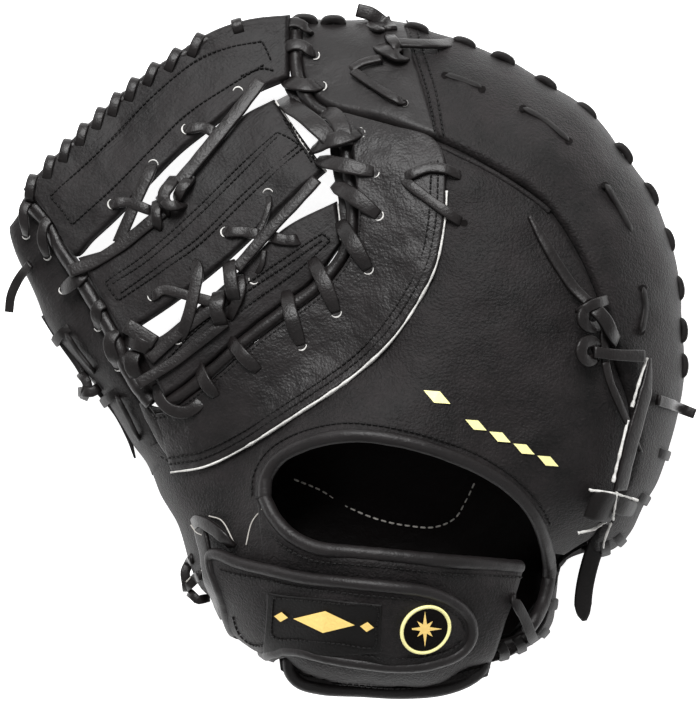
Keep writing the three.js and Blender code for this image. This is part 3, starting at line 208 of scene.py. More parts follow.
def smooth(low, high, value):
    """0 below low, 1 above high, and 3t^2 - 2t^3 between them."""
    t = np.clip((value - low) / (high - low), 0, 1)
    return t * t * (3 - 2 * t)


def resampled(points, stations):
    """The polyline through points at these shares of its length."""
    points = np.asarray(points, float)
    lengths = np.r_[0, np.cumsum(np.linalg.norm(np.diff(points, axis=0), axis=1))]
    shares = lengths / lengths[-1]
    return np.stack([np.interp(stations, shares, column) for column in points.T], axis=-1)


def spline(points, count, closed=False):
    """A centripetal Catmull-Rom curve through the points, as count + 1 evenly spaced points."""
    p = np.asarray(points, float)
    if closed:
        p = np.vstack([p[-1], p, p[0], p[1]])
    else:
        p = np.vstack([2 * p[0] - p[1], p, 2 * p[-1] - p[-2]])
    dense = []
    for a, b, c, d in zip(p[:-3], p[1:-2], p[2:-1], p[3:]):
        knots = [0.0]
        for start, end in ((a, b), (b, c), (c, d)):
            knots.append(knots[-1] + max(np.sqrt(np.linalg.norm(end - start)), 1e-6))
        k0, k1, k2, k3 = knots
        t = np.linspace(k1, k2, 24, endpoint=False)[:, None]
        ab = (k1 - t) / (k1 - k0) * a + (t - k0) / (k1 - k0) * b
        bc = (k2 - t) / (k2 - k1) * b + (t - k1) / (k2 - k1) * c
        cd = (k3 - t) / (k3 - k2) * c + (t - k2) / (k3 - k2) * d
        abc = (k2 - t) / (k2 - k0) * ab + (t - k0) / (k2 - k0) * bc
        bcd = (k3 - t) / (k3 - k1) * bc + (t - k1) / (k3 - k1) * cd
        dense.append((k2 - t) / (k2 - k1) * abc + (t - k1) / (k2 - k1) * bcd)
    dense.append(p[-2][None])
    return resampled(np.vstack(dense), np.linspace(0, 1, count + 1))


def plan(shares, count, closed=False):
    """A plan curve, in millimetres, through points given as shares of width and length."""
    return spline(np.asarray(shares) * (WIDTH, LENGTH), count, closed)


def moved_right(curve, distance):
    """A plan curve moved sideways, to the right of its direction."""
    along = np.gradient(curve, axis=0)
    along /= np.linalg.norm(along, axis=1)[:, None]
    return curve + distance * np.stack([along[:, 1], -along[:, 0]], axis=1)


def made_rim():
    """The closed outline, each point set in along the outline's right-hand side by RIM_INSET."""
    outline = plan(OUTLINE, 300, closed=True)[:-1]
    before = np.roll(outline, 1, axis=0)
    after = np.roll(outline, -1, axis=0)
    along = (after - before) / np.linalg.norm(after - before, axis=1)[:, None]
    return outline + RIM_INSET * np.stack([along[:, 1], -along[:, 0]], axis=1)


RIM = made_rim()
MAP_HALF = 176
MAP_STEP = 1.0


def made_depth_map():
    """Distance inside the rim (less than 0 outside it) on a 1 mm grid: the least distance to the rim's
    sides, its sign by counting the sides that a ray to the right crosses, its ridges softened."""
    axis = np.arange(-MAP_HALF, MAP_HALF + 1) * MAP_STEP
    x, y = np.meshgrid(axis, axis, indexing="ij")
    nearest = np.full(x.shape, np.inf)
    inside = np.zeros(x.shape, bool)
    for a, b in zip(RIM, np.roll(RIM, -1, axis=0)):
        d = b - a
        t = np.clip(((x - a[0]) * d[0] + (y - a[1]) * d[1]) / (d @ d), 0, 1)
        nearest = np.minimum(nearest, np.hypot(x - a[0] - t * d[0], y - a[1] - t * d[1]))
        if a[1] != b[1]:
            crosses = ((a[1] > y) != (b[1] > y)) & (x < d[0] * (y - a[1]) / d[1] + a[0])
            inside ^= crosses
    signed = np.where(inside, nearest, -nearest)
    soft = blurred(signed, 4)
    return signed + (soft - signed) * smooth(5, 18, signed)


def blurred(values, sigma):
    """A Gaussian blur along both axes."""
    reach = int(3 * sigma)
    offsets = np.arange(-reach, reach + 1)
    kernel = np.exp(-(offsets ** 2) / (2 * sigma ** 2))
    kernel /= kernel.sum()
    for axis in (0, 1):
        values = sum(w * np.roll(values, o, axis=axis) for w, o in zip(kernel, offsets))
    return values


def looked_up(table, x, y):
    """Bilinear value of a map at plan points."""
    gx = np.clip((x / MAP_STEP) + MAP_HALF, 0, 2 * MAP_HALF - 1e-6)
    gy = np.clip((y / MAP_STEP) + MAP_HALF, 0, 2 * MAP_HALF - 1e-6)
    i = gx.astype(int)
    j = gy.astype(int)
    u = gx - i
    v = gy - j
    low = table[i, j] * (1 - u) + table[i + 1, j] * u
    high = table[i, j + 1] * (1 - u) + table[i + 1, j + 1] * u
    return low * (1 - v) + high * v


DEPTH = made_depth_map()


def depth_inside(x, y):
    """Distance inside the rim at plan points, and 0 outside it."""
    return np.maximum(looked_up(DEPTH, x, y), 0)


def blend(x, y, table, column):
    """The mean of a table's heights, weighed by exp(-(distance / reach)^2)."""
    away = (x[..., None] / WIDTH - table[:, 0]) ** 2 + (y[..., None] / LENGTH - table[:, 1]) ** 2
    weights = np.exp(-away / FORM_REACH ** 2)
    return (weights * table[:, column]).sum(-1) / weights.sum(-1) * HEIGHT


def edge_height(x, y):
    """The back's lower edge, which stands higher under the wrist."""
    heel = smooth(0.3, 0.44, -y / LENGTH)
    across = smooth(-0.2, -0.09, x / WIDTH) * (1 - smooth(0.17, 0.27, x / WIDTH))
    return RIM_HEIGHT + WRIST_LIFT * heel * across


def back_height(x, y):
    """Inner face of the back: a quarter ellipse from its edge up to the blended height."""
    t = np.clip(depth_inside(x, y) / BACK_ROLL, 0, 1)
    low = edge_height(x, y)
    return low + (blend(x, y, FORM, BACK) - low) * np.sqrt(1 - (1 - t) ** 2)


def palm_height(x, y):
    """Lower face of the palm: flat at the rim, then a parabola up to the blended height."""
    t = np.clip((depth_inside(x, y) - REST_WIDTH) / POCKET_RISE, 0, 1)
    return blend(x, y, FORM, PALM) * (1 - (1 - t) ** 2)


def web_height(x, y):
    """Lower face of the web's bars: the blended height."""
    return blend(x, y, WEB_FORM, 2)


def lacing_height(x, y):
    """Half way between the back and the web, where the thick laces between them lie."""
    return (back_height(x, y) + web_height(x, y)) / 2


PROBE = 0.6


def normal_at(surface, x, y):
    """Upward normals (-dz/dx, -dz/dy, 1) at unit length, the slopes taken over twice the probe."""
    slope_x = (surface(x + PROBE, y) - surface(x - PROBE, y)) / (2 * PROBE)
    slope_y = (surface(x, y + PROBE) - surface(x, y - PROBE)) / (2 * PROBE)
    normal = np.stack([-slope_x, -slope_y, np.ones_like(slope_x)], axis=-1)
    return normal / np.linalg.norm(normal, axis=-1)[..., None]


def above(surface, spots, level):
    """Points over plan spots, at a level above the surface along its normal."""
    x, y = spots[..., 0], spots[..., 1]
    base = np.stack([x, y, surface(x, y)], axis=-1)
    return base + normal_at(surface, x, y) * np.broadcast_to(level, x.shape)[..., None]


def seated(surface, rows):
    """Points and normals on a surface under photograph pixels: rows are [pixel x, pixel y, level].

    A plan spot is moved until its raised point lies on the camera's ray through the pixel.
    """
    rows = np.asarray(rows, float)
    spots = (rows[:, :2] - PHOTO_CENTRE) * (MM_PER_PIXEL, -MM_PER_PIXEL)
    points = above(surface, spots, rows[:, 2])
    for _ in range(6):
        scale = MM_PER_PIXEL * (CAMERA_HEIGHT - points[:, 2]) / (CAMERA_HEIGHT - REFERENCE_HEIGHT)
        wanted = (rows[:, :2] - PHOTO_CENTRE) * (1, -1) * scale[:, None]
        spots = spots + 0.8 * (wanted - points[:, :2])
        points = above(surface, spots, rows[:, 2])
    return points, normal_at(surface, spots[:, 0], spots[:, 1])


# Meshes
class Build:
    """Vertices and faces gathered from arrays, to be one mesh."""

    def __init__(self):
        self.vertices = []
        self.faces = []
        self.count = 0

    def add(self, vertices, faces):
        """Takes vertices in millimetres and groups of faces whose numbers start at 0."""
        vertices = np.asarray(vertices, float).reshape(-1, 3)
        self.vertices.append(vertices)
        self.faces.extend((np.asarray(group) + self.count).tolist() for group in faces if len(group))
        self.count += len(vertices)

    def add_sweep(self, path, ups, section, closed=False, scales=None):
        """Takes a section carried along a path."""
        self.add(*sweep(path, ups, section, closed, scales))


def finished(name, build, material, nodes=(), faceted=False):
    """Puts a build into a mesh object in metres, gives it its finish and makes it ride on the part."""
    vertices = np.vstack(build.vertices) / 1000
    faces = [face for group in build.faces for face in group]
    mesh = bpy.data.meshes.new(name)
    mesh.from_pydata(vertices.tolist(), [], faces)
    if not faceted:
        mesh.polygons.foreach_set("use_smooth", np.ones(len(mesh.polygons), bool))
    mesh.materials.append(material)
    mesh.update()
    piece = bpy.data.objects.new(name, mesh)
    bpy.context.scene.collection.objects.link(piece)
    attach(piece, "root")
    if nodes:
        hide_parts(*nodes)
    return piece


def round_section(radius, sides=12):
    """A regular polygon of many sides on a circle."""
    angle = np.arange(sides) * 2 * np.pi / sides
    return radius * np.stack([np.cos(angle), np.sin(angle)], axis=1)


def lace_section(width, thickness, sides=12):
    """A flat section with round corners: a superellipse of the fifth degree."""
    angle = np.arange(sides) * 2 * np.pi / sides
    across = np.sign(np.cos(angle)) * np.abs(np.cos(angle)) ** 0.4 * width / 2
    upwards = np.sign(np.sin(angle)) * np.abs(np.sin(angle)) ** 0.4 * thickness / 2
    return np.stack([across, upwards], axis=1)


def sweep(path, ups, section, closed=False, scales=None):
    """Vertices and faces of a section carried along a path, its second axis towards the ups.

    The ring at a point is point + side * a + up * b for each section point (a, b).
    """
    path = np.asarray(path, float)
    if closed:
        along = np.roll(path, -1, axis=0) - np.roll(path, 1, axis=0)
    else:
        along = np.gradient(path, axis=0)
    along /= np.linalg.norm(along, axis=1)[:, None] + 1e-12
    side = np.cross(along, np.broadcast_to(ups, path.shape))
    side /= np.linalg.norm(side, axis=1)[:, None] + 1e-12
    up = np.cross(side, along)
    count, sides = len(path), len(section)
    size = np.ones((count, 2)) if scales is None else np.asarray(scales, float)
    if size.ndim == 1:
        size = np.stack([size, size], axis=1)
    a = section[None, :, 0, None] * size[:, None, :1]
    b = section[None, :, 1, None] * size[:, None, 1:]
    rings = path[:, None] + side[:, None] * a + up[:, None] * b
    i = np.arange(count if closed else count - 1)[:, None]
    k = np.arange(sides)[None]
    near = i * sides
    far = ((i + 1) % count) * sides
    after = (k + 1) % sides
    quads = np.stack([near + k, near + after, far + after, far + k], axis=-1).reshape(-1, 4)
    faces = [quads]
    if not closed:
        ends = np.arange(sides)
        faces += [ends[::-1][None], ends[None] + (count - 1) * sides]
    return rings.reshape(-1, 3), faces


def shell(lower, upper, keep=None):
    """A closed sheet between two grids of points: floor, roof, and walls where a kept cell has no
    kept neighbour. All faces turn the way that makes the roof's first cell face away from the floor."""
    rows, columns = lower.shape[:2]
    cells = np.ones((rows - 1, columns - 1), bool) if keep is None else keep
    index = np.arange(rows * columns).reshape(rows, columns)
    a, b, c, d = index[:-1, :-1], index[1:, :-1], index[1:, 1:], index[:-1, 1:]
    top = rows * columns
    floor = np.stack([a, d, c, b], -1)[cells]
    roof = np.stack([a, b, c, d], -1)[cells] + top
    padded = np.pad(cells, 1)
    walls = []
    for missing, start, end in (
        (~padded[1:-1, :-2], b, a), (~padded[1:-1, 2:], d, c),
        (~padded[:-2, 1:-1], a, d), (~padded[2:, 1:-1], c, b),
    ):
        edge = cells & missing
        s, e = start[edge], end[edge]
        walls.append(np.stack([e, s, s + top, e + top], -1))
    faces = np.vstack([floor, roof] + walls)
    vertices = np.vstack([lower.reshape(-1, 3), upper.reshape(-1, 3)])
    used, faces = np.unique(faces, return_inverse=True)
    faces = faces.reshape(-1, 4)
    vertices = vertices[used]
    normal_up = upper[rows // 2, columns // 2] - lower[rows // 2, columns // 2]
    p = upper
    turn = np.cross(p[1, 0] - p[0, 0], p[0, 1] - p[0, 0])
    if turn @ normal_up < 0:
        faces = faces[:, ::-1]
    return vertices, [faces]


def lattice_noise(x, y, size, seed):
    """Smooth noise from -1 to 1 over the plan: random values a size apart, eased between them."""
    table = np.random.default_rng(seed).uniform(-1, 1, (64, 64))
    gx, gy = x / size + 32, y / size + 32
    i, j = np.floor(gx).astype(int), np.floor(gy).astype(int)
    u, v = smooth(0, 1, gx - i), smooth(0, 1, gy - j)
    i, j = i % 63, j % 63
    low = table[i, j] * (1 - u) + table[i + 1, j] * u
    high = table[i, j + 1] * (1 - u) + table[i + 1, j + 1] * u
    return low * (1 - v) + high * v


# Distances of a panel's closest points from a rounded edge, and the points of a curve that it reads
EDGE_STEPS = np.array([0.0, 0.15, 0.4, 0.8, 1.4, 2.2, 3.2])
CURVE_POINTS = 300
FAR_OFF = 1e3


def stations(length, step, edge=(True, True), rim=False):
    """Shares of a length, step apart, with closer ones within 3 mm of each rounded edge.

    Where the last edge is the rim they close up as 1 - (1 - s)^2, because the leather stands up there.
    """
    low = EDGE_STEPS / length if edge[0] else np.array([0.0])
    high = 1 - EDGE_STEPS[::-1] / length if edge[1] and not rim else np.array([1.0])
    count = max(int(length / step), 2)
    middle = np.arange(1, count) / count
    if rim:
        middle = 1 - (1 - middle) ** 2
    middle = middle[(middle > low[-1] + 0.3 * step / length) & (middle < high[0] - 0.002)]
    return np.r_[low, middle, high]


def panel_grid(start, end, step=2.2, edges=(True, True, True, True), rim=False):
    """Plan spots between two curves and their distances from the panel's rounded edges.

    Edges are those at the curves' first ends, their last ends, the start curve and the end curve.
    """
    start, end = [resampled(curve, np.linspace(0, 1, CURVE_POINTS)) for curve in (start, end)]
    length = np.linalg.norm(np.diff(start, axis=0), axis=1).sum()
    length = max(length, np.linalg.norm(np.diff(end, axis=0), axis=1).sum())
    width = np.linalg.norm(end - start, axis=1).max()
    u = stations(length, step, edges[:2])
    v = stations(width, step, edges[2:], rim)
    start, end = resampled(start, u), resampled(end, u)
    spots = start[:, None] + (end - start)[:, None] * v[None, :, None]
    along = np.linalg.norm(np.diff(spots, axis=0), axis=-1)
    along = np.concatenate([np.zeros((1, len(v))), np.cumsum(along, axis=0)])
    across = np.linalg.norm(end - start, axis=1)[:, None] * v[None]
    far = np.full(along.shape, FAR_OFF)
    away = [
        along if edges[0] else far, along[-1] - along if edges[1] else far,
        across if edges[2] else far, across[:, -1:] - across if edges[3] and not rim else far,
    ]
    return spots, np.minimum.reduce(away)


def leather(surface, spots, away, low, thickness, roll=2.0, puff=0.0, lump=0.0, seed=1, keep=None):
    """A leather sheet over plan spots: its upper face sinks to its lower one at a rounded edge,
    as a quarter circle, swells by the puff away from edges, and is uneven by the lump."""
    t = np.clip(away / roll, 0, 1)
    rounded = np.sqrt(1 - (1 - t) ** 2)
    swell = puff * (1 - np.exp(-away / 9))
    x, y = spots[..., 0], spots[..., 1]
    uneven = lump * (lattice_noise(x, y, 17, seed) + 0.5 * lattice_noise(x, y, 8, seed + 1))
    raised = low + (thickness + swell) * rounded + uneven * smooth(0, 6, away)
    floor = low + uneven * smooth(0, 6, away)
    return shell(above(surface, spots, floor), above(surface, spots, raised), keep)


def inside(spots, outline):
    """Whether plan spots lie inside a closed outline."""
    x, y = spots[..., 0], spots[..., 1]
    found = np.zeros(x.shape, bool)
    for a, b in zip(outline, np.roll(outline, -1, axis=0)):
        if a[1] != b[1]:
            crossing = (b[0] - a[0]) * (y - a[1]) / (b[1] - a[1]) + a[0]
            found ^= ((a[1] > y) != (b[1] > y)) & (x < crossing)
    return found


def rim_between(start, end, count):
    """Points of the rim from near one plan share to near another, going up its numbering."""
    targets = np.array([start, end]) * (WIDTH, LENGTH)
    first, last = [int(np.linalg.norm(RIM - t, axis=1).argmin()) for t in targets]
    if last < first:
        last += len(RIM)
    place = np.linspace(first, last, count + 1)
    i = np.floor(place).astype(int)
    share = (place - i)[:, None]
    return RIM[i % len(RIM)] * (1 - share) + RIM[(i + 1) % len(RIM)] * share


# Finishes
STREAK_ANGLE = 0.72
STREAK_SIZE = (0.011, 0.0011, 0.0025)
BROAD_SCALE = 60
SPECK_SCALE = 650
TINT_RANGE = (0.75, 1.25)
FINE_NOISE = (900, 4, 0.0006)
CREASE_NOISE = (130, 3, 0.0025)
GRAIN_DEPTH = 0.0005
STREAK_DEPTH = 0.0007


def added(tree, kind, values=None, links=None, **settings):
    """A new node with its settings, the values of its inputs, and what is wired into its inputs."""
    node = tree.nodes.new(kind)
    for key, value in settings.items():
        setattr(node, key, value)
    for key, value in (values or {}).items():
        node.inputs[key].default_value = value
    for key, source in (links or {}).items():
        tree.links.new(source, node.inputs[key])
    return node


def noise_of(tree, source, scale, detail, **more):
    """A noise texture over a source of coordinates."""
    return added(tree, "ShaderNodeTexNoise", {"Scale": scale, "Detail": detail, **more}, {"Vector": source})


def finish(name, colour, roughness, grain=0.0, grain_size=1.1, fine=0.0, crease=0.0, streak=0.0,
           mottle=0.0, sheen=0.0, metallic=0.0, specular=0.5, spread=0.08):
    """A leather-like finish from Object coordinates in metres.

    Its height is the sum of pebbles (the distance from the middles of Voronoi cells), fine noise, soft
    creases and streaks stretched along the web's bars; colour varies with the sum of broad and fine
    noise between the colour less and more the mottle, and roughness with broad noise by the spread.
    """
    material = bpy.data.materials.new(name)
    material.use_nodes = True
    tree = material.node_tree
    shader = tree.nodes["Principled BSDF"]
    for key, value in (("Metallic", metallic), ("Specular IOR Level", specular), ("Sheen Weight", sheen),
                       ("Sheen Roughness", 0.5)):
        shader.inputs[key].default_value = value
    place = tree.nodes.new("ShaderNodeTexCoord").outputs["Object"]
    broad = noise_of(tree, place, BROAD_SCALE, 5).outputs["Fac"]
    specks = noise_of(tree, place, SPECK_SCALE, 5, Roughness=0.7).outputs["Fac"]
    both = added(tree, "ShaderNodeMath", links={0: broad, 1: specks})
    ranged = added(tree, "ShaderNodeMapRange", {"From Min": TINT_RANGE[0], "From Max": TINT_RANGE[1]},
                   {"Value": both.outputs["Value"]})
    darker = (*[c * (1 - mottle) for c in colour], 1)
    lighter = (*[min(c * (1 + mottle), 1) for c in colour], 1)
    tint = added(tree, "ShaderNodeMix", {"A": darker, "B": lighter}, {"Factor": ranged.outputs["Result"]},
                 data_type="RGBA")
    tree.links.new(tint.outputs["Result"], shader.inputs["Base Color"])
    gloss = added(tree, "ShaderNodeMapRange", {"To Min": roughness - spread, "To Max": roughness + spread},
                  {"Value": broad})
    tree.links.new(gloss.outputs["Result"], shader.inputs["Roughness"])

    heights = []
    if grain:
        pebble = added(tree, "ShaderNodeTexVoronoi", {"Scale": 1000 / grain_size, "Smoothness": 0.4},
                       {"Vector": place}, feature="SMOOTH_F1")
        heights.append((pebble.outputs["Distance"], -grain, GRAIN_DEPTH * grain_size))
    for amount, (scale, detail, depth) in ((fine, FINE_NOISE), (crease, CREASE_NOISE)):
        if amount:
            heights.append((noise_of(tree, place, scale, detail).outputs["Fac"], amount, depth))
    if streak:
        turn = added(tree, "ShaderNodeMapping", {"Rotation": (0, 0, STREAK_ANGLE), "Scale": STREAK_SIZE},
                     {"Vector": place}, vector_type="TEXTURE")
        heights.append((noise_of(tree, turn.outputs["Vector"], 1, 3).outputs["Fac"], streak, STREAK_DEPTH))
    normal = None
    for height, amount, depth in heights:
        links = {"Height": height, "Normal": normal} if normal else {"Height": height}
        bump = added(tree, "ShaderNodeBump", {"Strength": abs(amount), "Distance": depth}, links,
                     invert=amount < 0)
        normal = bump.outputs["Normal"]
    if normal:
        tree.links.new(normal, shader.inputs["Normal"])
    return material


MATTE = finish("matte_leather", (0.0075, 0.0061, 0.0063), 0.6, grain=0.14, grain_size=0.8, fine=1.0,
               crease=0.2, mottle=0.75, sheen=0.02, specular=0.2)
GRAINED = finish("grained_leather", (0.0075, 0.0061, 0.0063), 0.45, grain=0.2, grain_size=1.1, fine=0.4,
                 crease=0.36, mottle=0.5, specular=0.28)
STREAKED = finish("streaked_leather", (0.0072, 0.0059, 0.0061), 0.54, grain=0.05, grain_size=0.8, fine=0.35,
                  crease=0.22, streak=0.34, mottle=0.6, specular=0.21)
TIP = finish("fingertip_leather", (0.0085, 0.0072, 0.0073), 0.48, grain=0.1, grain_size=0.8, fine=0.25,
             crease=0.22, mottle=0.3, specular=0.3)
LACE = finish("lace_leather", (0.0075, 0.0061, 0.0061), 0.4, grain=0.05, grain_size=0.8, fine=0.35,
              crease=0.15, mottle=0.4, specular=0.29)
# The lace leather made darker and less glossy: painted shade, for laces that lie sunk in holes, loop round
# the rim or hang down the side.
LACE_WITH_PAINTED_SHADE = finish("lace_leather_painted_shade", (0.005, 0.004, 0.004), 0.55, fine=0.35, crease=0.15, mottle=0.4,
              specular=0.2)
PIPING = finish("piping_leather", (0.0095, 0.008, 0.0082), 0.46, grain=0.08, grain_size=0.7, fine=0.4,
                crease=0.12, mottle=0.25, specular=0.27)
# Darkest leather, for the lining and the badge's face, and also as painted shade in the mouths of the laces'
# holes.
DARK_LEATHER_AND_HOLE_SHADE = finish("dark_leather_and_hole_shade", (0.002, 0.0012, 0.0012), 0.7, grain=0.2, grain_size=1.0, fine=0.3,
              crease=0.4, mottle=0.3, specular=0.08)
THREAD = finish("black_thread", (0.0025, 0.002, 0.002), 0.55, fine=0.5, mottle=0.1, specular=0.2)
RAW = finish("raw_edge", (0.55, 0.54, 0.52), 0.85, fine=0.8, mottle=0.35)
PALE_THREAD = finish("pale_thread", (0.42, 0.4, 0.37), 0.7, fine=0.5, mottle=0.2)
GOLD = finish("gold_thread", (0.95, 0.66, 0.2), 0.5, fine=0.5, mottle=0.08)
FOIL = finish("gold_foil", (0.98, 0.9, 0.4), 0.4, fine=0.3, mottle=0.06)

# Levels of laces, in millimetres above the inner face of what they lie on
UNDER = -1.5
ON_BACK = 3.9
ON_BAND = 7.2
ON_OVERLAY = 6.9
ON_WEB = 5.3
OVER_LACE = 7.4
BINDING_LEVEL = 1.25
LACED_EDGE = 3.0


def panel(name, start, end, nodes, material, low=0.0, thickness=BACK_THICKNESS, roll=2.0, puff=0.5,
          lump=0.5, seed=1, edges=(True, True, True, True), rim=True, step=2.2, surface=back_height,
          cut=None):
    """A sheet of leather between two plan curves of the same direction."""
    spots, away = panel_grid(start, end, step, edges, rim)
    keep = None
    if cut is not None:
        middle = (spots[:-1, :-1] + spots[1:, :-1] + spots[1:, 1:] + spots[:-1, 1:]) / 4
        keep = ~inside(middle, cut)
    build = Build()
    build.add(*leather(surface, spots, away, low, thickness, roll, puff, lump, seed, keep))
    return finished(name, build, material, nodes)


def made_palm():
    """The padded palm from the web's line out to the rim, and the lining over it under the opening."""
    inner = moved_right(plan(WEB_LINE, 200), LACED_EDGE)
    outer = moved_right(rim_between(TIP_START, THUMB_TIP, 300), -BACK_THICKNESS)[::-1]
    palm = panel("palm_leather", inner, outer, ["palm_shell"], MATTE, thickness=PALM_THICKNESS,
                 roll=2.4, puff=0, lump=0.0, rim=False, step=2.6, surface=palm_height)
    panel("palm_lining_leather", plan(LINING_LEFT, 60), plan(LINING_RIGHT, 60), ["palm_lining"], DARK_LEATHER_AND_HOLE_SHADE,
          low=PALM_THICKNESS + LINING_GAP, thickness=LINING_THICKNESS, roll=1.0, puff=0,
          lump=0.5, seed=4, rim=False, step=2.6, surface=palm_height)


def opening_outline():
    """The hand opening's closed outline in plan."""
    return np.vstack([plan(OPENING_TOP, 60), plan(OPENING_LOWER, 40)[::-1]])


def made_back():
    """The leathers of the back. Those that meet without a folded edge share one seed, so that their
    unevenness runs on from one to the next."""
    hole = opening_outline()
    band = panel("finger_band_leather", plan(CREASE, 160),
                 rim_between(RADIAL_SEAM[0], BAND_END, 200), ["finger_band"], MATTE,
                 thickness=BAND_THICKNESS, roll=3.0, puff=1.2, lump=0.8, seed=11,
                 edges=(False, True, True, True))
    tip = panel("fingertip_leather_panel", plan(TIP_INNER, 100),
                rim_between(TIP_START, RADIAL_SEAM[0], 80), ["fingertip_panel"], TIP,
                thickness=BAND_THICKNESS, roll=3.0, puff=1.2, lump=0.8, seed=11,
                edges=(True, False, True, True))
    panel("back_leather", plan(BACK_INNER, 160), plan(BACK_OUTER, 160), ["back_panel"], MATTE,
          puff=0.5, lump=0.7, seed=31, rim=False, cut=hole, edges=(False, False, False, True), roll=3.4,
          step=1.7)
    panel("wrist_leather", moved_right(plan(OPENING_LOWER, 120), 2), plan(BAND_LOWER, 120), ["wrist_band"],
          MATTE, low=0.1, puff=0.5, lump=0.7, seed=31, rim=False,
          edges=(False, False, False, False))
    thumb_inner = np.vstack([moved_right(plan(THUMB_SIDE, 120), LACED_EDGE),
                             np.multiply(THUMB_ROOT, (WIDTH, LENGTH))])
    panel("thumb_leather", thumb_inner, rim_between(THUMB_ROOT_RIM, THUMB_TIP, 160)[::-1], ["thumb_panel"],
          STREAKED, puff=1.4, lump=0.6, seed=31, edges=(True, False, True, True))
    panel("thumb_root_leather", plan(THUMB_BASE_INNER, 120),
          rim_between(THUMB_BASE_END, THUMB_ROOT_OVERLAP, 120)[::-1], ["thumb_base"], MATTE,
          low=-0.15, puff=0.5, lump=0.7, seed=31, cut=hole, edges=(False, False, False, True))
    panel("heel_leather", plan(HEEL_INNER, 80), rim_between(BAND_END, HEEL_END, 80),
          ["heel_panel"], MATTE, low=-0.2, puff=0.5, lump=0.7, seed=31,
          edges=(False, False, False, True))
    crescent_inner = moved_right(plan(FINGER_SIDE[4:] + [CROTCH_END], 160), -LACED_EDGE)
    panel("crotch_crescent", crescent_inner, plan(CRESCENT_OUTER, 160), ["thumb_crescent"], GRAINED,
          low=OVERLAY_LOW, thickness=OVERLAY_THICKNESS, roll=1.0, puff=0.6, lump=0.6,
          seed=81, rim=False, step=1.7)


def made_web():
    """The three bars of the web, each a sheet between its two edges."""
    bars = [
        ("web_outer_leather", WEB_TOP_EDGE, OUTER_BAR_LOWER, "web_outer_bar", 91),
        ("web_middle_leather", MIDDLE_BAR_UPPER, MIDDLE_BAR_LOWER, "web_middle_bar", 93),
    ]
    for name, upper, lower, node, seed in bars:
        panel(name, plan(upper, 120), plan(lower, 120), [node], STREAKED,
              thickness=WEB_THICKNESS, roll=2.2, puff=0.6, lump=0.6, seed=seed, rim=False,
              surface=web_height, step=1.7)
    crotch = moved_right(plan(FINGER_SIDE[8:][::-1], 120), -LACED_EDGE)
    panel("web_inner_leather", plan(INNER_BAR_UPPER, 120), crotch, ["web_inner_bar"], STREAKED,
          thickness=WEB_THICKNESS, roll=2.0, puff=0.6, lump=0.5, seed=95, rim=False, surface=web_height,
          step=1.7)


def on_plan(surface, curve, level):
    """A plan curve raised to a level over a surface, and the surface's normals along it."""
    return above(surface, curve, level), normal_at(surface, curve[:, 0], curve[:, 1])


def at_height(rows):
    """Points in mm under photograph pixels: rows are [pixel x, pixel y, height above the table]."""
    rows = np.asarray(rows, float)
    scale = MM_PER_PIXEL * (CAMERA_HEIGHT - rows[:, 2]) / (CAMERA_HEIGHT - REFERENCE_HEIGHT)
    offset = (rows[:, :2] - PHOTO_CENTRE) * (1, -1) * scale[:, None]
    return np.column_stack([offset, rows[:, 2]])


def nearest(curve, place):
    """The number of the plan curve's point nearest to a photograph pixel."""
    target = (np.array(place) - PHOTO_CENTRE) * (MM_PER_PIXEL, -MM_PER_PIXEL)
    return int(np.linalg.norm(curve - target, axis=1).argmin())


def uneven(count, amount, seed, closed=False):
    """A smooth series about 1, for the give of a rolled or cut edge: random values at every fourth
    place, and straight lines between them."""
    values = np.random.default_rng(seed).uniform(-amount, amount, max(count // 4, 4))
    if closed:
        values[-1] = values[0]
    return 1 + np.interp(np.linspace(0, 1, count), np.linspace(0, 1, len(values)), values)


def rolled(name, surface, curve, level, radius, nodes, material=PIPING, seed=1,
           closed=False):
    """A rolled edge: a round section along a plan curve, a little thicker and thinner on its way."""
    build = Build()
    points, ups = on_plan(surface, curve, level)
    if closed:
        points, ups = points[:-1], ups[:-1]
    scales = uneven(len(points), 0.035, seed, closed)
    build.add_sweep(points, ups, round_section(radius, 16), closed, scales)
    return finished(name, build, material, nodes)


def path_through(points, ups, count):
    """A smooth path through points, and its ups, as one spline with the ups scaled to millimetres."""
    both = spline(np.hstack([points, ups * 4]), count)
    return both[:, :3], both[:, 3:]


def drawn(surface, rows, count=None):
    """A smooth path, and its ups, over a surface through rows of [pixel x, pixel y, level]."""
    points, ups = seated(surface, rows)
    if count is None:
        length = np.linalg.norm(np.diff(points, axis=0), axis=1).sum()
        count = max(int(length / LACE_STEP), 8)
    return path_through(points, ups, count)


def strand(build, surface, rows, width=LACE_WIDTH, thickness=LACE_THICKNESS, taper=None, seed=1):
    """A flat lace over a surface through rows of [pixel x, pixel y, level]. Its width may taper
    towards its end, as shares of the width at even steps along it."""
    points, ups = drawn(surface, rows)
    scales = uneven(len(points), 0.05, seed)
    sizes = np.stack([scales, scales], axis=1)
    if taper is not None:
        sizes[:, 0] *= np.interp(np.linspace(0, 1, len(points)), np.linspace(0, 1, len(taper)), taper)
    build.add_sweep(points, ups, lace_section(width, thickness), False, sizes)


def staple(route, level, dive=3.0):
    """Rows of a lace that comes out of one hole and goes into another: under the leather at both ends,
    and at its level from a few pixels after the first to a few before the last."""
    route = np.asarray(route, float)
    ahead = (route[1] - route[0]) / np.linalg.norm(route[1] - route[0]) * dive
    back = (route[-2] - route[-1]) / np.linalg.norm(route[-2] - route[-1]) * dive
    between = [(*p, level) for p in route[1:-1]]
    return [(*route[0], UNDER), (*(route[0] + ahead), level), *between, (*(route[-1] + back), level),
            (*route[-1], UNDER)]


def flat(route, level):
    """Rows that keep one level along a route of pixels."""
    return [(x, y, level) for x, y in route]


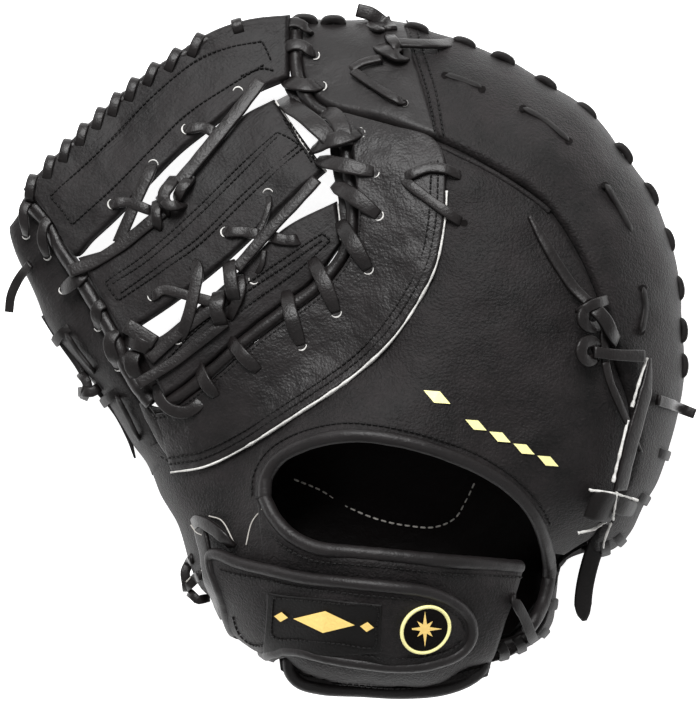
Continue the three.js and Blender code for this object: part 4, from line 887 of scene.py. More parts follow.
def humped(route, low, high):
    """Rows over what a lace crosses: low at both ends of the route and high between them."""
    route = resampled(route, np.array([0, 0.1, 0.25, 0.5, 0.75, 0.9, 1]))
    levels = (low, (low + high) / 2, high - 0.5, high, high - 0.5, (low + high) / 2, low)
    return [(*place, level) for place, level in zip(route, levels)]


def ring(centre, radius, low, high, start, turn, squeeze=1.0):
    """Rows round a tied ring, from a start angle over part of a turn, raised as half a sine."""
    angle = np.radians(start + turn * np.linspace(0, 1, 9))
    levels = low + (high - low) * np.sin(np.pi * np.linspace(0, 1, 9))
    return [(centre[0] + radius * np.cos(a), centre[1] + squeeze * radius * np.sin(a), level)
            for a, level in zip(angle, levels)]


def lace_piece(name, surface, strands, nodes, material=LACE):
    """Joins strands (rows, width, thickness, taper if any) over a surface into one piece."""
    build = Build()
    for number, (rows, width, thickness, *taper) in enumerate(strands):
        strand(build, surface, rows, width, thickness, *taper, seed=number + 1)
    return finished(name, build, material, nodes)


# Turns of lace over the two thick laces: route in photograph pixels, and width in millimetres. Their
# levels over the back go from the web's side up over the thick lace and down into a hole
FINGER_WRAPS = [
    ([(278, 30), (286, 24), (298, 23), (311, 32)], 4.8), ([(280, 53), (288, 46), (301, 45), (315, 55)], 5.0),
    ([(285, 82), (304, 85), (322, 86)], 6.4), ([(281, 100), (305, 116), (333, 141)], 8.8),
    ([(312, 150), (326, 142), (345, 137), (360, 133)], 6.8), ([(318, 160), (338, 164), (374, 172)], 6.4),
    ([(316, 116), (330, 113), (341, 126), (345, 146)], 8.0),
    ([(334, 185), (353, 196), (378, 215)], 6.6), ([(340, 222), (353, 244), (368, 269)], 6.8),
    ([(312, 259), (325, 285), (336, 312)], 6.2), ([(286, 292), (292, 319), (301, 345)], 6.0),
    ([(230, 340), (242, 355), (259, 371)], 5.6), ([(198, 364), (205, 382), (217, 397)], 5.6),
]
THUMB_WRAPS = [
    ([(36, 196), (24, 208), (26, 235)], 4.2), ([(60, 213), (46, 222), (42, 238), (47, 256)], 4.4),
    ([(88, 268), (78, 278), (63, 290)], 6.2), ([(110, 301), (97, 308), (98, 327)], 5.0),
    ([(119, 326), (109, 343), (118, 367)], 5.6), ([(137, 346), (131, 364), (141, 383)], 6.6),
    ([(125, 338), (143, 346), (156, 352)], 6.0),
]
# Flat laces that run beside the thick ones, under their turns, and the curl at the thumb's root
FINGER_BESIDE = [
    ([(289, 78), (293, 90), (303, 104)], 6.4),
    ([(337, 138), (338, 158), (342, 180), (346, 203), (348, 224)], 6.4),
]
THUMB_BESIDE = [([(139, 345), (148, 370), (160, 396)], 8.6)]
BESIDE_LEVEL = 1.2
THUMB_CURL = [(158, 384, 2), (160, 398, 5), (170, 409, 6), (186, 412, 6), (199, 404, 5), (203, 392, 2)]
THUMB_CURL_WIDTH = 5.6
FINGER_WRAP_LEVELS = (-2.5, 3.6, 6.4, 7.6, 7.6, 7.0, 5.2)
THUMB_WRAP_LEVELS = (1.0, 5.4, 7.2, 7.6, 6.8, 5.0, 1.6)
TIP_WRAP_LEVELS = (0.5, 5.2, 6.6, 7.0, 6.6, 5.6, 1.5)
TIP_WRAPS = 3
WRAP_TAPER = [0.7, 1, 1.08, 1.1, 1.08, 1, 0.75]
WIDE_WRAP = 7.5
WRAP_THICKNESS = 1.7
TUBE_LEVEL = 2.6
THUMB_TUBE_RADIUS = 1.2 * TUBE_RADIUS


def wrapped(build, surface, wrap, levels):
    """A turn of lace along a route, its levels at even shares of the way; a wide one keeps its width."""
    route, width = wrap
    places = resampled(spline(route, 60), np.linspace(0, 1, len(levels)))
    rows = [(*place, level) for place, level in zip(places, levels)]
    strand(build, surface, rows, width, WRAP_THICKNESS, WRAP_TAPER if width < WIDE_WRAP else None)


def tube(build, line, radius):
    """A thick round lace along a plan line, half way between the back and the web."""
    points, ups = on_plan(lacing_height, plan(line, 150), TUBE_LEVEL)
    build.add_sweep(points, ups, round_section(radius, 16), False, uneven(len(points), 0.06, 3))


def made_tubes():
    """The two thick laces with their turns and the flat laces beside them."""
    build = Build()
    tube(build, FINGER_SIDE, TUBE_RADIUS)
    for number, wrap in enumerate(FINGER_WRAPS):
        if number < TIP_WRAPS:
            wrapped(build, lacing_height, wrap, TIP_WRAP_LEVELS)
        else:
            wrapped(build, back_height, wrap, FINGER_WRAP_LEVELS)
    for route, width in FINGER_BESIDE:
        strand(build, lacing_height, flat(route, BESIDE_LEVEL), width)
    finished("finger_side_lacing", build, LACE, ["lace_finger_side"])

    build = Build()
    tube(build, THUMB_SIDE, THUMB_TUBE_RADIUS)
    for wrap in THUMB_WRAPS:
        wrapped(build, lacing_height, wrap, THUMB_WRAP_LEVELS)
    for route, width in THUMB_BESIDE:
        strand(build, lacing_height, flat(route, BESIDE_LEVEL), width)
    strand(build, lacing_height, THUMB_CURL, THUMB_CURL_WIDTH, 2.2)
    finished("thumb_side_lacing", build, LACE, ["lace_thumb_side"])


# Where the web's outer edge is whipped, and where one straight turn crosses it, in photograph pixels
WHIP_PLACES = [
    (30, 187), (48, 167), (64, 151), (80, 134), (96, 117), (112, 102), (129, 86), (148, 70), (169, 54),
    (193, 41),
]
STRAIGHT_TURN_PLACE = (237, 24)
WHIP_TURN_SIDES = 28
WHIP_INSET = 2.7
WHIP_CORE_RADIUS = 2.7
WHIP_CORE_STEPS = 300
WHIP_REACH = 3.0
WHIP_RISE = 3.5
WHIP_LEAN = 4.6
WHIP_WIDTH = 4.6
STRAIGHT_REACH = 3.2
STRAIGHT_WIDTH = 5.0
WHIP_THICKNESS = 1.8


def made_whip():
    """Closed turns of flat lace round the web's outer edge, each an ellipse leaning along the edge."""
    edge = moved_right(plan(WEB_TOP_EDGE, 400), WHIP_INSET)
    points, ups = on_plan(web_height, edge, WEB_THICKNESS / 2)
    along = np.gradient(points, axis=0)
    along /= np.linalg.norm(along, axis=1)[:, None]
    side = np.cross(along, ups)
    angle = np.arange(WHIP_TURN_SIDES)[:, None] * 2 * np.pi / WHIP_TURN_SIDES
    turns = [(place, WHIP_REACH, WHIP_LEAN, WHIP_WIDTH) for place in WHIP_PLACES]
    build = Build()
    for place, reach, lean, width in turns + [(STRAIGHT_TURN_PLACE, STRAIGHT_REACH, 0, STRAIGHT_WIDTH)]:
        i = nearest(edge, place)
        path = points[i] + side[i] * np.cos(angle) * reach + ups[i] * np.sin(angle) * WHIP_RISE
        path = path - along[i] * lean * np.cos(angle)
        build.add_sweep(path, path - points[i], lace_section(width, WHIP_THICKNESS), True)
    core, core_ups = points[:WHIP_CORE_STEPS], ups[:WHIP_CORE_STEPS]
    build.add_sweep(core - core_ups * 0.4, core_ups, round_section(WHIP_CORE_RADIUS, 12), False,
                    uneven(WHIP_CORE_STEPS, 0.12, 8))
    finished("web_edge_whipping", build, LACE, ["web_edge_lacing"])


# Where the edge lace comes out, in photograph pixels: running along the rim, and looped across it
RUNNING_PLACES = [
    (305, 17), (333, 16), (418, 27), (462, 40), (508, 57), (550, 80), (590, 111), (625, 152), (652, 193),
    (670, 237), (679, 285), (683, 330), (683, 365),
]
FINGER_LOOPS = [(663, 455), (645, 503), (622, 541), (606, 551)]
THUMB_LOOPS = [(64, 328), (114, 392)]
HEEL_LOOPS = [(551, 604), (542, 634), (520, 650), (500, 664)]
THUMB_RIM_STRANDS = [[(66, 334), (78, 352), (93, 371)], [(117, 397), (127, 416), (138, 438)]]
CORE_INSET = 2.6
CORE_HEIGHT = 8.2
CORE_RADIUS = 2.6
HEEL_CORE_INSET = 1.0
HEEL_CORE_HEIGHT = 10.0
HEEL_CORE_RADIUS = 2.8

# A loop across the rim: shares of its depth, shares of how far out it stands, and its lower turn as
# (share of how far out, height above the table)
LOOP_DEPTHS = np.array([1, 0.86, 0.62, 0.38, 0.18, 0.05])
LOOP_LEVELS = np.array([0.6, 0.97, 1, 1, 1])
LOOP_UNDER = -1.0
LOOP_TURN = ((1.0, 11.0), (0.7, 7.5))
LOOP_END = (0.5, 6.5)
LOOP_MIDDLE = (5, 8)

# A run along the rim: distances along it from its middle, levels over the back, and how far inside
RUN_PLACES = np.array([-4.6, -3.8, -1.6, 1.6, 3.8, 4.6])
RUN_LEVELS = np.array([3.4, 5.9, 6.7, 6.7, 5.9, 3.4])
RUN_WIDTH = 3.8
RUN_THICKNESS = 3.6
RUN_INSET = 1.6


def rim_loops(build, places, depth, out):
    """Loops of the edge lace over the rim: out of a hole in the back, down the side, in at the core."""
    for place in places:
        i = nearest(RIM, place)
        along = RIM[(i + 1) % len(RIM)] - RIM[i - 1]
        along /= np.linalg.norm(along)
        inward = np.array([along[1], -along[0]])
        levels = np.r_[LOOP_UNDER, LOOP_LEVELS * out]
        upper = above(back_height, RIM[i] + inward * depth * LOOP_DEPTHS[:, None], levels)
        reaches = [(share * out, height) for share, height in LOOP_TURN] + [LOOP_END]
        lower = [(*(RIM[i] - inward * reach), height) for reach, height in reaches]
        path = spline(np.vstack([upper, lower]), 26)
        middle = np.r_[RIM[i] + inward * LOOP_MIDDLE[0], LOOP_MIDDLE[1]]
        build.add_sweep(path, path - middle, lace_section(LACE_WIDTH, LACE_THICKNESS))


def running_laces(build, places):
    """Short runs of the edge lace along the rim, each from one hole to the next: a place between two
    points of the rim is their mean, weighed by how near it is."""
    for place in places:
        i = nearest(RIM, place)
        step = np.linalg.norm(RIM[i] - RIM[i - 1])
        number = (i + RUN_PLACES / step) % len(RIM)
        low = np.floor(number).astype(int)
        share = (number - low)[:, None]
        after = RIM[(low + 1) % len(RIM)]
        forward = (after - RIM[low]) / np.linalg.norm(after - RIM[low], axis=1)[:, None]
        spots = RIM[low] * (1 - share) + after * share
        spots = spots + np.stack([forward[:, 1], -forward[:, 0]], axis=1) * RUN_INSET
        points, ups = on_plan(back_height, spots, RUN_LEVELS)
        build.add_sweep(*path_through(points, ups, 16), lace_section(RUN_WIDTH, RUN_THICKNESS))


def rim_core(build, start, end, count, inset, height, radius):
    """The edge lace's hidden run: a round lace at one height along the rim."""
    core = moved_right(rim_between(start, end, count), inset)
    path = np.column_stack([core, np.full(len(core), height)])
    build.add_sweep(path, np.array([0, 0, 1.0]), round_section(radius, 12))


def made_rim_lacing():
    """The lace that joins palm and back, round the fingers, along the thumb and at the heel."""
    # All three runs of rim lacing are finished in the lace leather with painted shade.
    build = Build()
    rim_core(build, TIP_START, BAND_END, 240, CORE_INSET, CORE_HEIGHT, CORE_RADIUS)
    running_laces(build, RUNNING_PLACES)
    rim_loops(build, FINGER_LOOPS, depth=6.5, out=6.0)
    finished("finger_rim_lacing", build, LACE_WITH_PAINTED_SHADE, ["rim_lacing_fingers"])

    build = Build()
    rim_core(build, THUMB_LACE_START, THUMB_LACE_END, 240, CORE_INSET, CORE_HEIGHT, CORE_RADIUS)
    rim_loops(build, THUMB_LOOPS, depth=7.0, out=5.4)
    for route in THUMB_RIM_STRANDS:
        strand(build, back_height, staple(route, 5.4), 2.6, 1.8)
    finished("thumb_rim_lacing", build, LACE_WITH_PAINTED_SHADE, ["rim_lacing_thumb"])

    build = Build()
    rim_core(build, HEEL_LACE_START, HEEL_LACE_END, 80, HEEL_CORE_INSET, HEEL_CORE_HEIGHT, HEEL_CORE_RADIUS)
    rim_loops(build, HEEL_LOOPS, depth=5.0, out=3.0)
    finished("heel_rim_lacing", build, LACE_WITH_PAINTED_SHADE)


# Middle of the wrist's lower rolled edge: photograph pixels and height above the table in mm
WRIST_PIPING_ROUTE = [
    (292, 652, 55), (289, 662, 54.5), (291, 673, 54), (300, 682.5, 53.5), (322, 688.5, 53.5),
    (360, 690.5, 53.5), (400, 692.5, 53.5), (438, 690, 53.5), (462, 683, 53), (477, 674, 52), (485, 664, 50),
]


def made_bindings():
    """The rolled edges of the hand opening and the wrist, and the raised seam along the crease."""
    rolled("opening_piping", back_height, plan(OPENING_TOP, 260), BINDING_LEVEL, BINDING_RADIUS,
           ["opening_binding"], seed=2)
    rolled("opening_lower_piping", back_height, plan(OPENING_LOWER, 200), BINDING_LEVEL, BINDING_RADIUS,
           ["opening_lower_binding"], seed=3)
    build = Build()
    path = spline(at_height(WRIST_PIPING_ROUTE), 90)
    build.add_sweep(path, np.array([0, 0, 1.0]), round_section(WRIST_BINDING_RADIUS, 16))
    finished("wrist_piping", build, PIPING, ["wrist_band_binding"])
    rolled("crease_welt", back_height, plan(WELT, 60), 2.2, WELT_RADIUS, [], MATTE, seed=6)


# Wrist strap: the middle of its rolled edge in photograph pixels, upper and lower side
STRAP_TOP_ROUTE = [
    (213, 555), (240, 562), (300, 576), (350, 582), (400, 587), (430, 592), (453, 602), (467, 615),
    (471, 625),
]
STRAP_LOW_ROUTE = [
    (227, 607), (238, 623), (256, 636), (290, 649), (330, 657), (390, 665), (425, 664), (452, 656),
    (467, 644), (471, 635),
]
PATCH_CORNERS = [(268, 592), (382, 604), (267, 641), (381, 652)]
BADGE_CENTRE = (425, 629)
BADGE_LEVEL = 0.7
BADGE_RADII = [0.05, 10.2, 10.6, 11.3, 11.7, 11.6, 0.05]
BADGE_HEIGHTS = [1.0, 1.0, 1.5, 1.6, 1.2, 0.0, 0.0]
FACE_RADII = [0.05, 9.9, 10.1, 10.1, 0.05]
FACE_HEIGHTS = [0.4, 0.4, 0.2, 0, 0]
FACE_LEVEL = 0.9


def plan_under(surface, route, level):
    """Plan spots whose points at a level over a surface lie under the route's photograph pixels."""
    points, ups = seated(surface, flat(route, level))
    return (points - ups * level)[:, :2]


def disc(base, up, radii, heights, sides=64):
    """A turned shape about a normal: rings of these radii at these heights, closed at both ends."""
    side = np.cross(up, (0, 1, 0))
    side /= np.linalg.norm(side)
    ahead = np.cross(up, side)
    angle = np.arange(sides) * 2 * np.pi / sides
    circle = side * np.cos(angle)[:, None] + ahead * np.sin(angle)[:, None]
    rings = base + circle[None] * np.asarray(radii)[:, None, None] + up * np.asarray(heights)[:, None, None]
    i, k = np.arange(len(radii) - 1)[:, None] * sides, np.arange(sides)[None]
    after = (k + 1) % sides
    quads = np.stack([i + k, i + sides + k, i + sides + after, i + after], -1).reshape(-1, 4)
    ends = np.arange(sides)
    last = (len(radii) - 1) * sides
    return rings.reshape(-1, 3), [quads, ends[None], (ends[::-1] + last)[None]]


def made_strap():
    """The wrist strap with its rolled edge, the plain patch and the plain round badge."""
    upper = spline(plan_under(back_height, STRAP_TOP_ROUTE, STRAP_MIDDLE), 120)
    lower = spline(plan_under(back_height, STRAP_LOW_ROUTE, STRAP_MIDDLE), 120)
    strap = panel("wrist_strap_leather", upper, lower, ["wrist_strap"], MATTE, low=STRAP_LOW,
                  thickness=STRAP_THICKNESS, roll=2.0, puff=0.8, lump=0.5, seed=101, rim=False, step=1.7,
                  edges=(False, False, False, False))
    outline = plan_under(back_height, STRAP_TOP_ROUTE + STRAP_LOW_ROUTE[::-1], STRAP_MIDDLE)
    rolled("strap_piping", back_height, spline(outline, 360, closed=True), STRAP_MIDDLE + 1.0,
           STRAP_BINDING_RADIUS, ["strap_binding"], seed=5, closed=True)

    corners = plan_under(back_height, PATCH_CORNERS, STRAP_TOP)
    panel("plain_patch", spline(corners[:2], 60), spline(corners[2:], 60), ["strap_patch"], THREAD,
          low=STRAP_TOP + 0.7, thickness=0.8, roll=0.6, puff=0.1, lump=0.1, seed=111, rim=False, step=2.2)
    points, ups = seated(back_height, flat([BADGE_CENTRE], STRAP_TOP + BADGE_LEVEL))
    build = Build()
    build.add(*disc(points[0], ups[0], BADGE_RADII, BADGE_HEIGHTS))
    finished("round_badge", build, FOIL, ["strap_badge"])
    build = Build()
    build.add(*disc(points[0] + ups[0] * FACE_LEVEL, ups[0], FACE_RADII, FACE_HEIGHTS))
    finished("badge_face", build, DARK_LEATHER_AND_HOLE_SHADE)


# Knots and single laces, as strands of (rows, width, thickness, taper if any). Rows and routes are in
# photograph pixels with levels in millimetres, widths and thicknesses are in millimetres
FINGER_LACES = [
    [(445, 75), (464, 81), (482, 88)], [(523, 108), (545, 121), (569, 141)],
    [(605, 184), (618, 206), (632, 233)], [(643, 287), (645, 309), (641, 333)],
]
CREASE_LACE = [
    ([(404, 179, 3.5), (410, 175, ON_OVERLAY), (428, 168, ON_OVERLAY), (445, 169, ON_OVERLAY),
      (457, 174, ON_BACK + 0.6), (463, 179, UNDER)], 4.6, 1.9),
    ([(403, 178, 3.5), (409, 184, ON_OVERLAY), (430, 200, ON_OVERLAY), (447, 212, ON_OVERLAY),
      (458, 220, ON_BACK + 0.6), (463, 224, UNDER)], 4.6, 1.9),
]
FINGERTIP_TIE = [
    ([(405, 104, UNDER), (400, 101, ON_BAND), (375, 86, ON_BAND), (353, 71, ON_BAND)], 4.2, 2.0),
    ([(351, 70, ON_BAND), (362, 63, ON_BAND + 0.6), (382, 58, ON_BAND + 1)], 4.0, 2.0),
    (flat([(398, 43), (430, 44), (461, 43)], 9.2), 5.4, 2.2),
    (humped([(379, 47), (392, 53), (404, 59)], 5, 10.2), 6.2, 2.2),
    (humped([(389, 36), (395, 43), (399, 52)], 5, 11.2), 4.8, 2.2),
]
FINGERTIP_END = [
    ([(357, 10, 8.5), (371, 14, 9), (384, 23, 9), (391, 29, 7)], 6.2, 2.4),
    ([(366, 23, 6), (378, 29, 8.5), (388, 27, 8), (386, 17, 7)], 3.6, 2.2),
]
WRIST_SIDE_LACE = [(staple([(513, 598), (524, 617), (533, 640)], 5.6), 4.8, 2.0)]
UPPER_WEB_LACES = [
    (flat([(261, 80), (241, 107), (206, 150), (178, 184)], OVER_LACE), 6.2, 1.8),
    (flat([(166, 209), (148, 224), (120, 246), (92, 263), (70, 271)], ON_WEB), 5.8, 2.0),
    ([(153, 163, 2), (150, 171, ON_WEB), (141, 190, ON_WEB), (129, 218, ON_WEB), (118, 243, ON_WEB)],
     5.6, 1.9),
    (humped([(175, 178), (164, 193), (165, 213)], 4.5, 10.5), 5.6, 2.2),
    (humped([(157, 202), (156, 214), (158, 228)], 4.5, 8.5), 4.6, 2.2),
    (humped([(176, 200), (181, 189), (191, 178)], 4.5, 9.5), 5.0, 2.2),
    (humped([(160, 196), (170, 206), (183, 205)], 4.5, 11.0), 4.6, 2.2),
]
LOWER_WEB_LACES = [
    (flat([(317, 179), (300, 198), (270, 230), (236, 269)], OVER_LACE), 5.2, 2.0),
    (flat([(212, 309), (190, 325), (168, 343), (150, 360)], ON_WEB), 5.2, 2.0),
    (flat([(226, 322), (205, 338), (175, 361), (138, 384)], ON_WEB + 0.8), 5.2, 2.0),
    ([(189, 261, 2), (197, 268, ON_WEB), (193, 298, OVER_LACE - 0.6), (182, 334, ON_WEB), (177, 339, 2)],
     5.6, 1.9),
    (flat([(126, 325), (139, 333), (155, 343)], ON_WEB - 0.6), 7.0, 1.9),
    (humped([(229, 263), (231, 284), (235, 304)], 4.5, 10.0), 6.4, 2.2),
    (humped([(219, 293), (216, 310), (222, 326)], 4.5, 9.5), 6.4, 2.2),
    (humped([(240, 276), (241, 292), (229, 318)], 4.0, 7.5), 4.8, 2.2),
    ([(268, 194, 2), (269, 204, ON_WEB), (262, 225, ON_WEB), (257, 234, ON_WEB)], 2.8, 1.6),
    ([(264, 250, ON_WEB), (262, 264, ON_WEB), (254, 279, 2)], 2.4, 1.6),
]
WEB_STUBS = [
    ("web_stub_a", [(187, 129), (203, 127), (217, 134)], 5.0, ["web_stub_upper"]),
    ("web_stub_b", [(226, 232), (245, 232), (262, 235)], 5.0, ["web_stub_middle"]),
    ("web_stub_c", [(272, 237), (285, 240), (299, 240)], 5.2, ["web_stub_inner"]),
    ("web_stub_d", [(152, 297), (163, 290), (190, 296), (216, 303)], 4.8, ["web_stub_lower"]),
    ("web_stub_e", [(112, 204), (125, 202), (152, 211)], 4.8, []),
]
SIDE_LEVEL = ON_BACK + 0.6
SIDE_KNOT = [
    ([(529, 216, SIDE_LEVEL), (545, 243, SIDE_LEVEL), (560, 268, SIDE_LEVEL), (574, 288, SIDE_LEVEL + 1),
      (588, 302, 8.5)], 4.8, 2.2, [0.3, 0.9, 1, 1, 1]),
    (ring((592, 318), 9.5, 7, 11, -60, -250), 5.4, 2.4),
    (humped([(579, 312), (592, 305), (606, 300)], 7.5, 11.6), 4.6, 2.2),
    (humped([(590, 306), (603, 316), (616, 341)], 7.5, 12), 6.4, 2.4),
    (ring((589, 351), 8, 7, 10.4, -20, -300, 1.25), 5.2, 2.4),
    (flat([(594, 352), (618, 355), (644, 356)], 9.4), 5.2, 2.2),
    (flat([(604, 318), (604, 345), (606, 368)], ON_BAND), 3.6, 2.0),
]
SIDE_NARROW_STRIP = [
    (flat([(605, 362), (610, 382), (621, 408), (641, 452)], ON_BAND + 1.2), 3.6, 2.0, [1, 1, 1, 0.8, 0.25]),
]
SIDE_WIDE_STRIP = [
    (flat([(649, 358), (646, 388), (637, 422), (628, 456), (620, 490)], ON_BAND + 1.3), 8.0, 2.2,
     [0.2, 0.95, 1, 1, 1]),
]
SIDE_WRAP = [
    ([(588, 503, 7.4), (597, 506, 9.6), (606, 508, 9.6), (614, 510, 7.4)], 14.0, 2.2),
    ([(612, 503, 8.4), (625, 507, 8.8), (638, 510, 7.6)], 9.0, 2.0, [1, 0.8, 0.4]),
]
SIDE_END = [([(658, 400, 7.0), (670, 404, 7.0), (682, 409, 7.0), (695, 414, 7.0)], 4.8, 2.0)]
THUMB_OUTER_LACE = [
    ([(42, 316, 2), (60, 340, 2), (76, 362, 3), (86, 378, 4.5)], 3.4, 2.0, [0.3, 0.9, 1, 1]),
    ([(96, 388, 4.5), (112, 406, 3), (127, 432, 2), (135, 458, 1)], 3.4, 2.0, [1, 1, 0.9, 0.3]),
    ([(30, 264, 6), (18, 280, 6), (11, 296, 5), (9, 312, 4)], 4.2, 2.0),
    (humped([(81, 374), (88, 383), (84, 398)], 3, 8), 4.4, 2.2),
    (humped([(80, 392), (92, 392), (102, 385)], 3, 9), 4.6, 2.2),
]
THUMB_WRAP = [(flat([(200, 528), (205, 550), (210, 580), (219, 612)], 7.4), 8.4, 2.4)]
THUMB_WRAP_END = [([(194, 524, 5), (199, 521, 8), (212, 528, 9), (224, 538, 8), (232, 546, 4)], 5.6, 2.2)]
THUMB_SIDE_KNOT = [
    ([(142, 402, 4), (152, 420, 4.6), (165, 443, 4.4), (176, 460, 3.6)], 6.4, 2.0, [0.5, 0.9, 1, 1, 0.8]),
    (humped([(193, 556), (185, 570), (187, 590)], 2, 6), 4.4, 2.2),
    (humped([(186, 588), (196, 578), (204, 572)], 2, 7), 4.6, 2.2),
    (humped([(190, 593), (198, 600), (208, 598)], 2, 6), 4.0, 2.2),
]

# The hanging tail: photograph pixels and height above the table in mm, then its width's shares at
# shares of its length
TAIL_ROUTE = [(607, 514, 34), (600, 535, 30), (591, 560, 25), (585, 585, 21), (583, 604, 18), (584, 620, 15)]
TAIL_PLACES = [0, 0.4, 0.85, 0.94, 1]
TAIL_WIDTHS = [0.95, 1.05, 1.05, 0.8, 0.3]
TAIL_WIDTH = 8.0
TAIL_UP = (0.2, 0, 1.0)


def made_laces():
    """All knots and single laces, each table one piece."""
    # The short laces into the band's holes, the wrist side strand, the side wrap and the hanging tail are
    # finished in the lace leather with painted shade.
    for letter, number, route in zip("abcd", range(1, 5), FINGER_LACES):
        lace_piece(f"finger_lace_{letter}", back_height, [(staple(route, 5.7), 3.2, 2.0)],
                   [f"finger_lace_{number}"], LACE_WITH_PAINTED_SHADE)
    lace_piece("crease_lace_strand", back_height, CREASE_LACE, ["crease_lace"])
    lace_piece("fingertip_tie_laces", back_height, FINGERTIP_TIE, ["fingertip_tie"])
    lace_piece("fingertip_end", back_height, FINGERTIP_END, ["fingertip_tail"])
    lace_piece("wrist_side_strand", back_height, WRIST_SIDE_LACE, ["wrist_side_lace"], LACE_WITH_PAINTED_SHADE)

    lace_piece("upper_web_laces", web_height, UPPER_WEB_LACES, ["web_lace_upper"])
    lace_piece("lower_web_laces", web_height, LOWER_WEB_LACES, ["web_lace_lower"])
    for name, route, width, nodes in WEB_STUBS:
        lace_piece(name, web_height, [(staple(route, ON_WEB), width, 1.9)], nodes)

    lace_piece("side_knot_laces", back_height, SIDE_KNOT, ["side_lace"])
    lace_piece("side_narrow_strip", back_height, SIDE_NARROW_STRIP, ["side_strip_narrow"])
    lace_piece("side_wide_strip", back_height, SIDE_WIDE_STRIP, ["side_strip"])
    lace_piece("side_wrap_strip", back_height, SIDE_WRAP, ["side_wrap"], LACE_WITH_PAINTED_SHADE)
    build = Build()
    path = spline(at_height(TAIL_ROUTE), 40)
    widths = np.interp(np.linspace(0, 1, len(path)), TAIL_PLACES, TAIL_WIDTHS)
    build.add_sweep(path, np.array(TAIL_UP), lace_section(TAIL_WIDTH, 2.2), False,
                    np.stack([widths, np.ones(len(path))], axis=1))
    finished("side_hanging_tail", build, LACE_WITH_PAINTED_SHADE, ["side_tail"])
    lace_piece("side_end", back_height, SIDE_END, ["side_lace_tail"])

    lace_piece("thumb_outer_strand", back_height, THUMB_OUTER_LACE, ["thumb_outer_lace"])
    lace_piece("thumb_wrap_strap", back_height, THUMB_WRAP, ["thumb_wrap"])
    lace_piece("thumb_wrap_end", back_height, THUMB_WRAP_END, ["thumb_wrap_loop"])
    lace_piece("thumb_side_knot", back_height, THUMB_SIDE_KNOT, [])


# One stitch: its rings' places along it, from end to end, and their shares of its radius
STITCH_RINGS = np.array([-1, -0.72, 0.72, 1])
STITCH_SWELL = np.array([0.45, 1, 1, 0.45])
STITCH_SIDES = 6
STITCH_SIGHT = 0.3


def sampled(values, steps, at):
    """Rows of values given at steps along a path, read at other places along it."""
    return np.stack([np.interp(at, steps, column) for column in values.T], axis=1)


def stitches(build, points, ups, pitch=2.7, length=2.3, radius=0.45):
    """Stitches along a path: copies of one rounded bar, set at even steps and turned along the path."""
    steps = np.r_[0, np.cumsum(np.linalg.norm(np.diff(points, axis=0), axis=1))]
    count = max(int(steps[-1] / pitch), 2)
    at = (np.arange(count) + 0.5) / count * steps[-1]
    middle = sampled(points, steps, at)
    ahead = sampled(points, steps, at + STITCH_SIGHT)
    before = sampled(points, steps, at - STITCH_SIGHT)
    up = sampled(np.broadcast_to(ups, points.shape), steps, at)
    along = (ahead - before) / np.linalg.norm(ahead - before, axis=1)[:, None]
    side = np.cross(along, up)
    side /= np.linalg.norm(side, axis=1)[:, None]
    up = np.cross(side, along)
    reach = STITCH_RINGS * length / 2
    swell = STITCH_SWELL * radius
    angle = np.arange(STITCH_SIDES) * 2 * np.pi / STITCH_SIDES
    a = (swell[:, None] * np.cos(angle))[None, :, :, None]
    b = (swell[:, None] * np.sin(angle))[None, :, :, None]
    spots = middle[:, None, None] + along[:, None, None] * reach[None, :, None, None]
    vertices = spots + side[:, None, None] * a + up[:, None, None] * b
    sides, last = STITCH_SIDES, (len(STITCH_RINGS) - 1) * STITCH_SIDES
    i, k = np.arange(0, last, sides)[:, None], np.arange(sides)[None]
    after = (k + 1) % sides
    quads = np.stack([i + k, i + after, i + sides + after, i + sides + k], -1).reshape(-1, 4)
    starts = (np.arange(count) * (last + sides))[:, None, None]
    caps = np.stack([np.arange(sides)[::-1], np.arange(sides) + last])
    build.add(vertices.reshape(-1, 3), [(quads[None] + starts).reshape(-1, 4),
                                        (caps[None] + starts).reshape(-1, sides)])


# Rows of stitches. Beside a plan line: how far to the line's right, and the thread's level over the back
CRESCENT_ROWS = [(3.4, OVERLAY_TOP + 0.3), (6.4, OVERLAY_TOP + 0.55)]
CRESCENT_SKIPPED = 62
BESIDE_LACING_ROW = (-LACED_EDGE - 1.6, OVERLAY_TOP + 0.1)
SEAM_ROWS = [(1.7, BAND_THICKNESS + 1.25), (-1.7, BAND_THICKNESS + 1.25)]
OPENING_TOP_ROW = (-4.4, BACK_THICKNESS + 0.95)
OPENING_LOWER_ROW = (4.6, BACK_THICKNESS + 1.0)
WRIST_ROW = (-4.6, BACK_THICKNESS + 1.0)
THUMB_ROOT_ROW = (0, 5.0)
STRAP_ROW_INSET = 3.9
STRAP_ROW_LEVEL = STRAP_TOP + 0.95
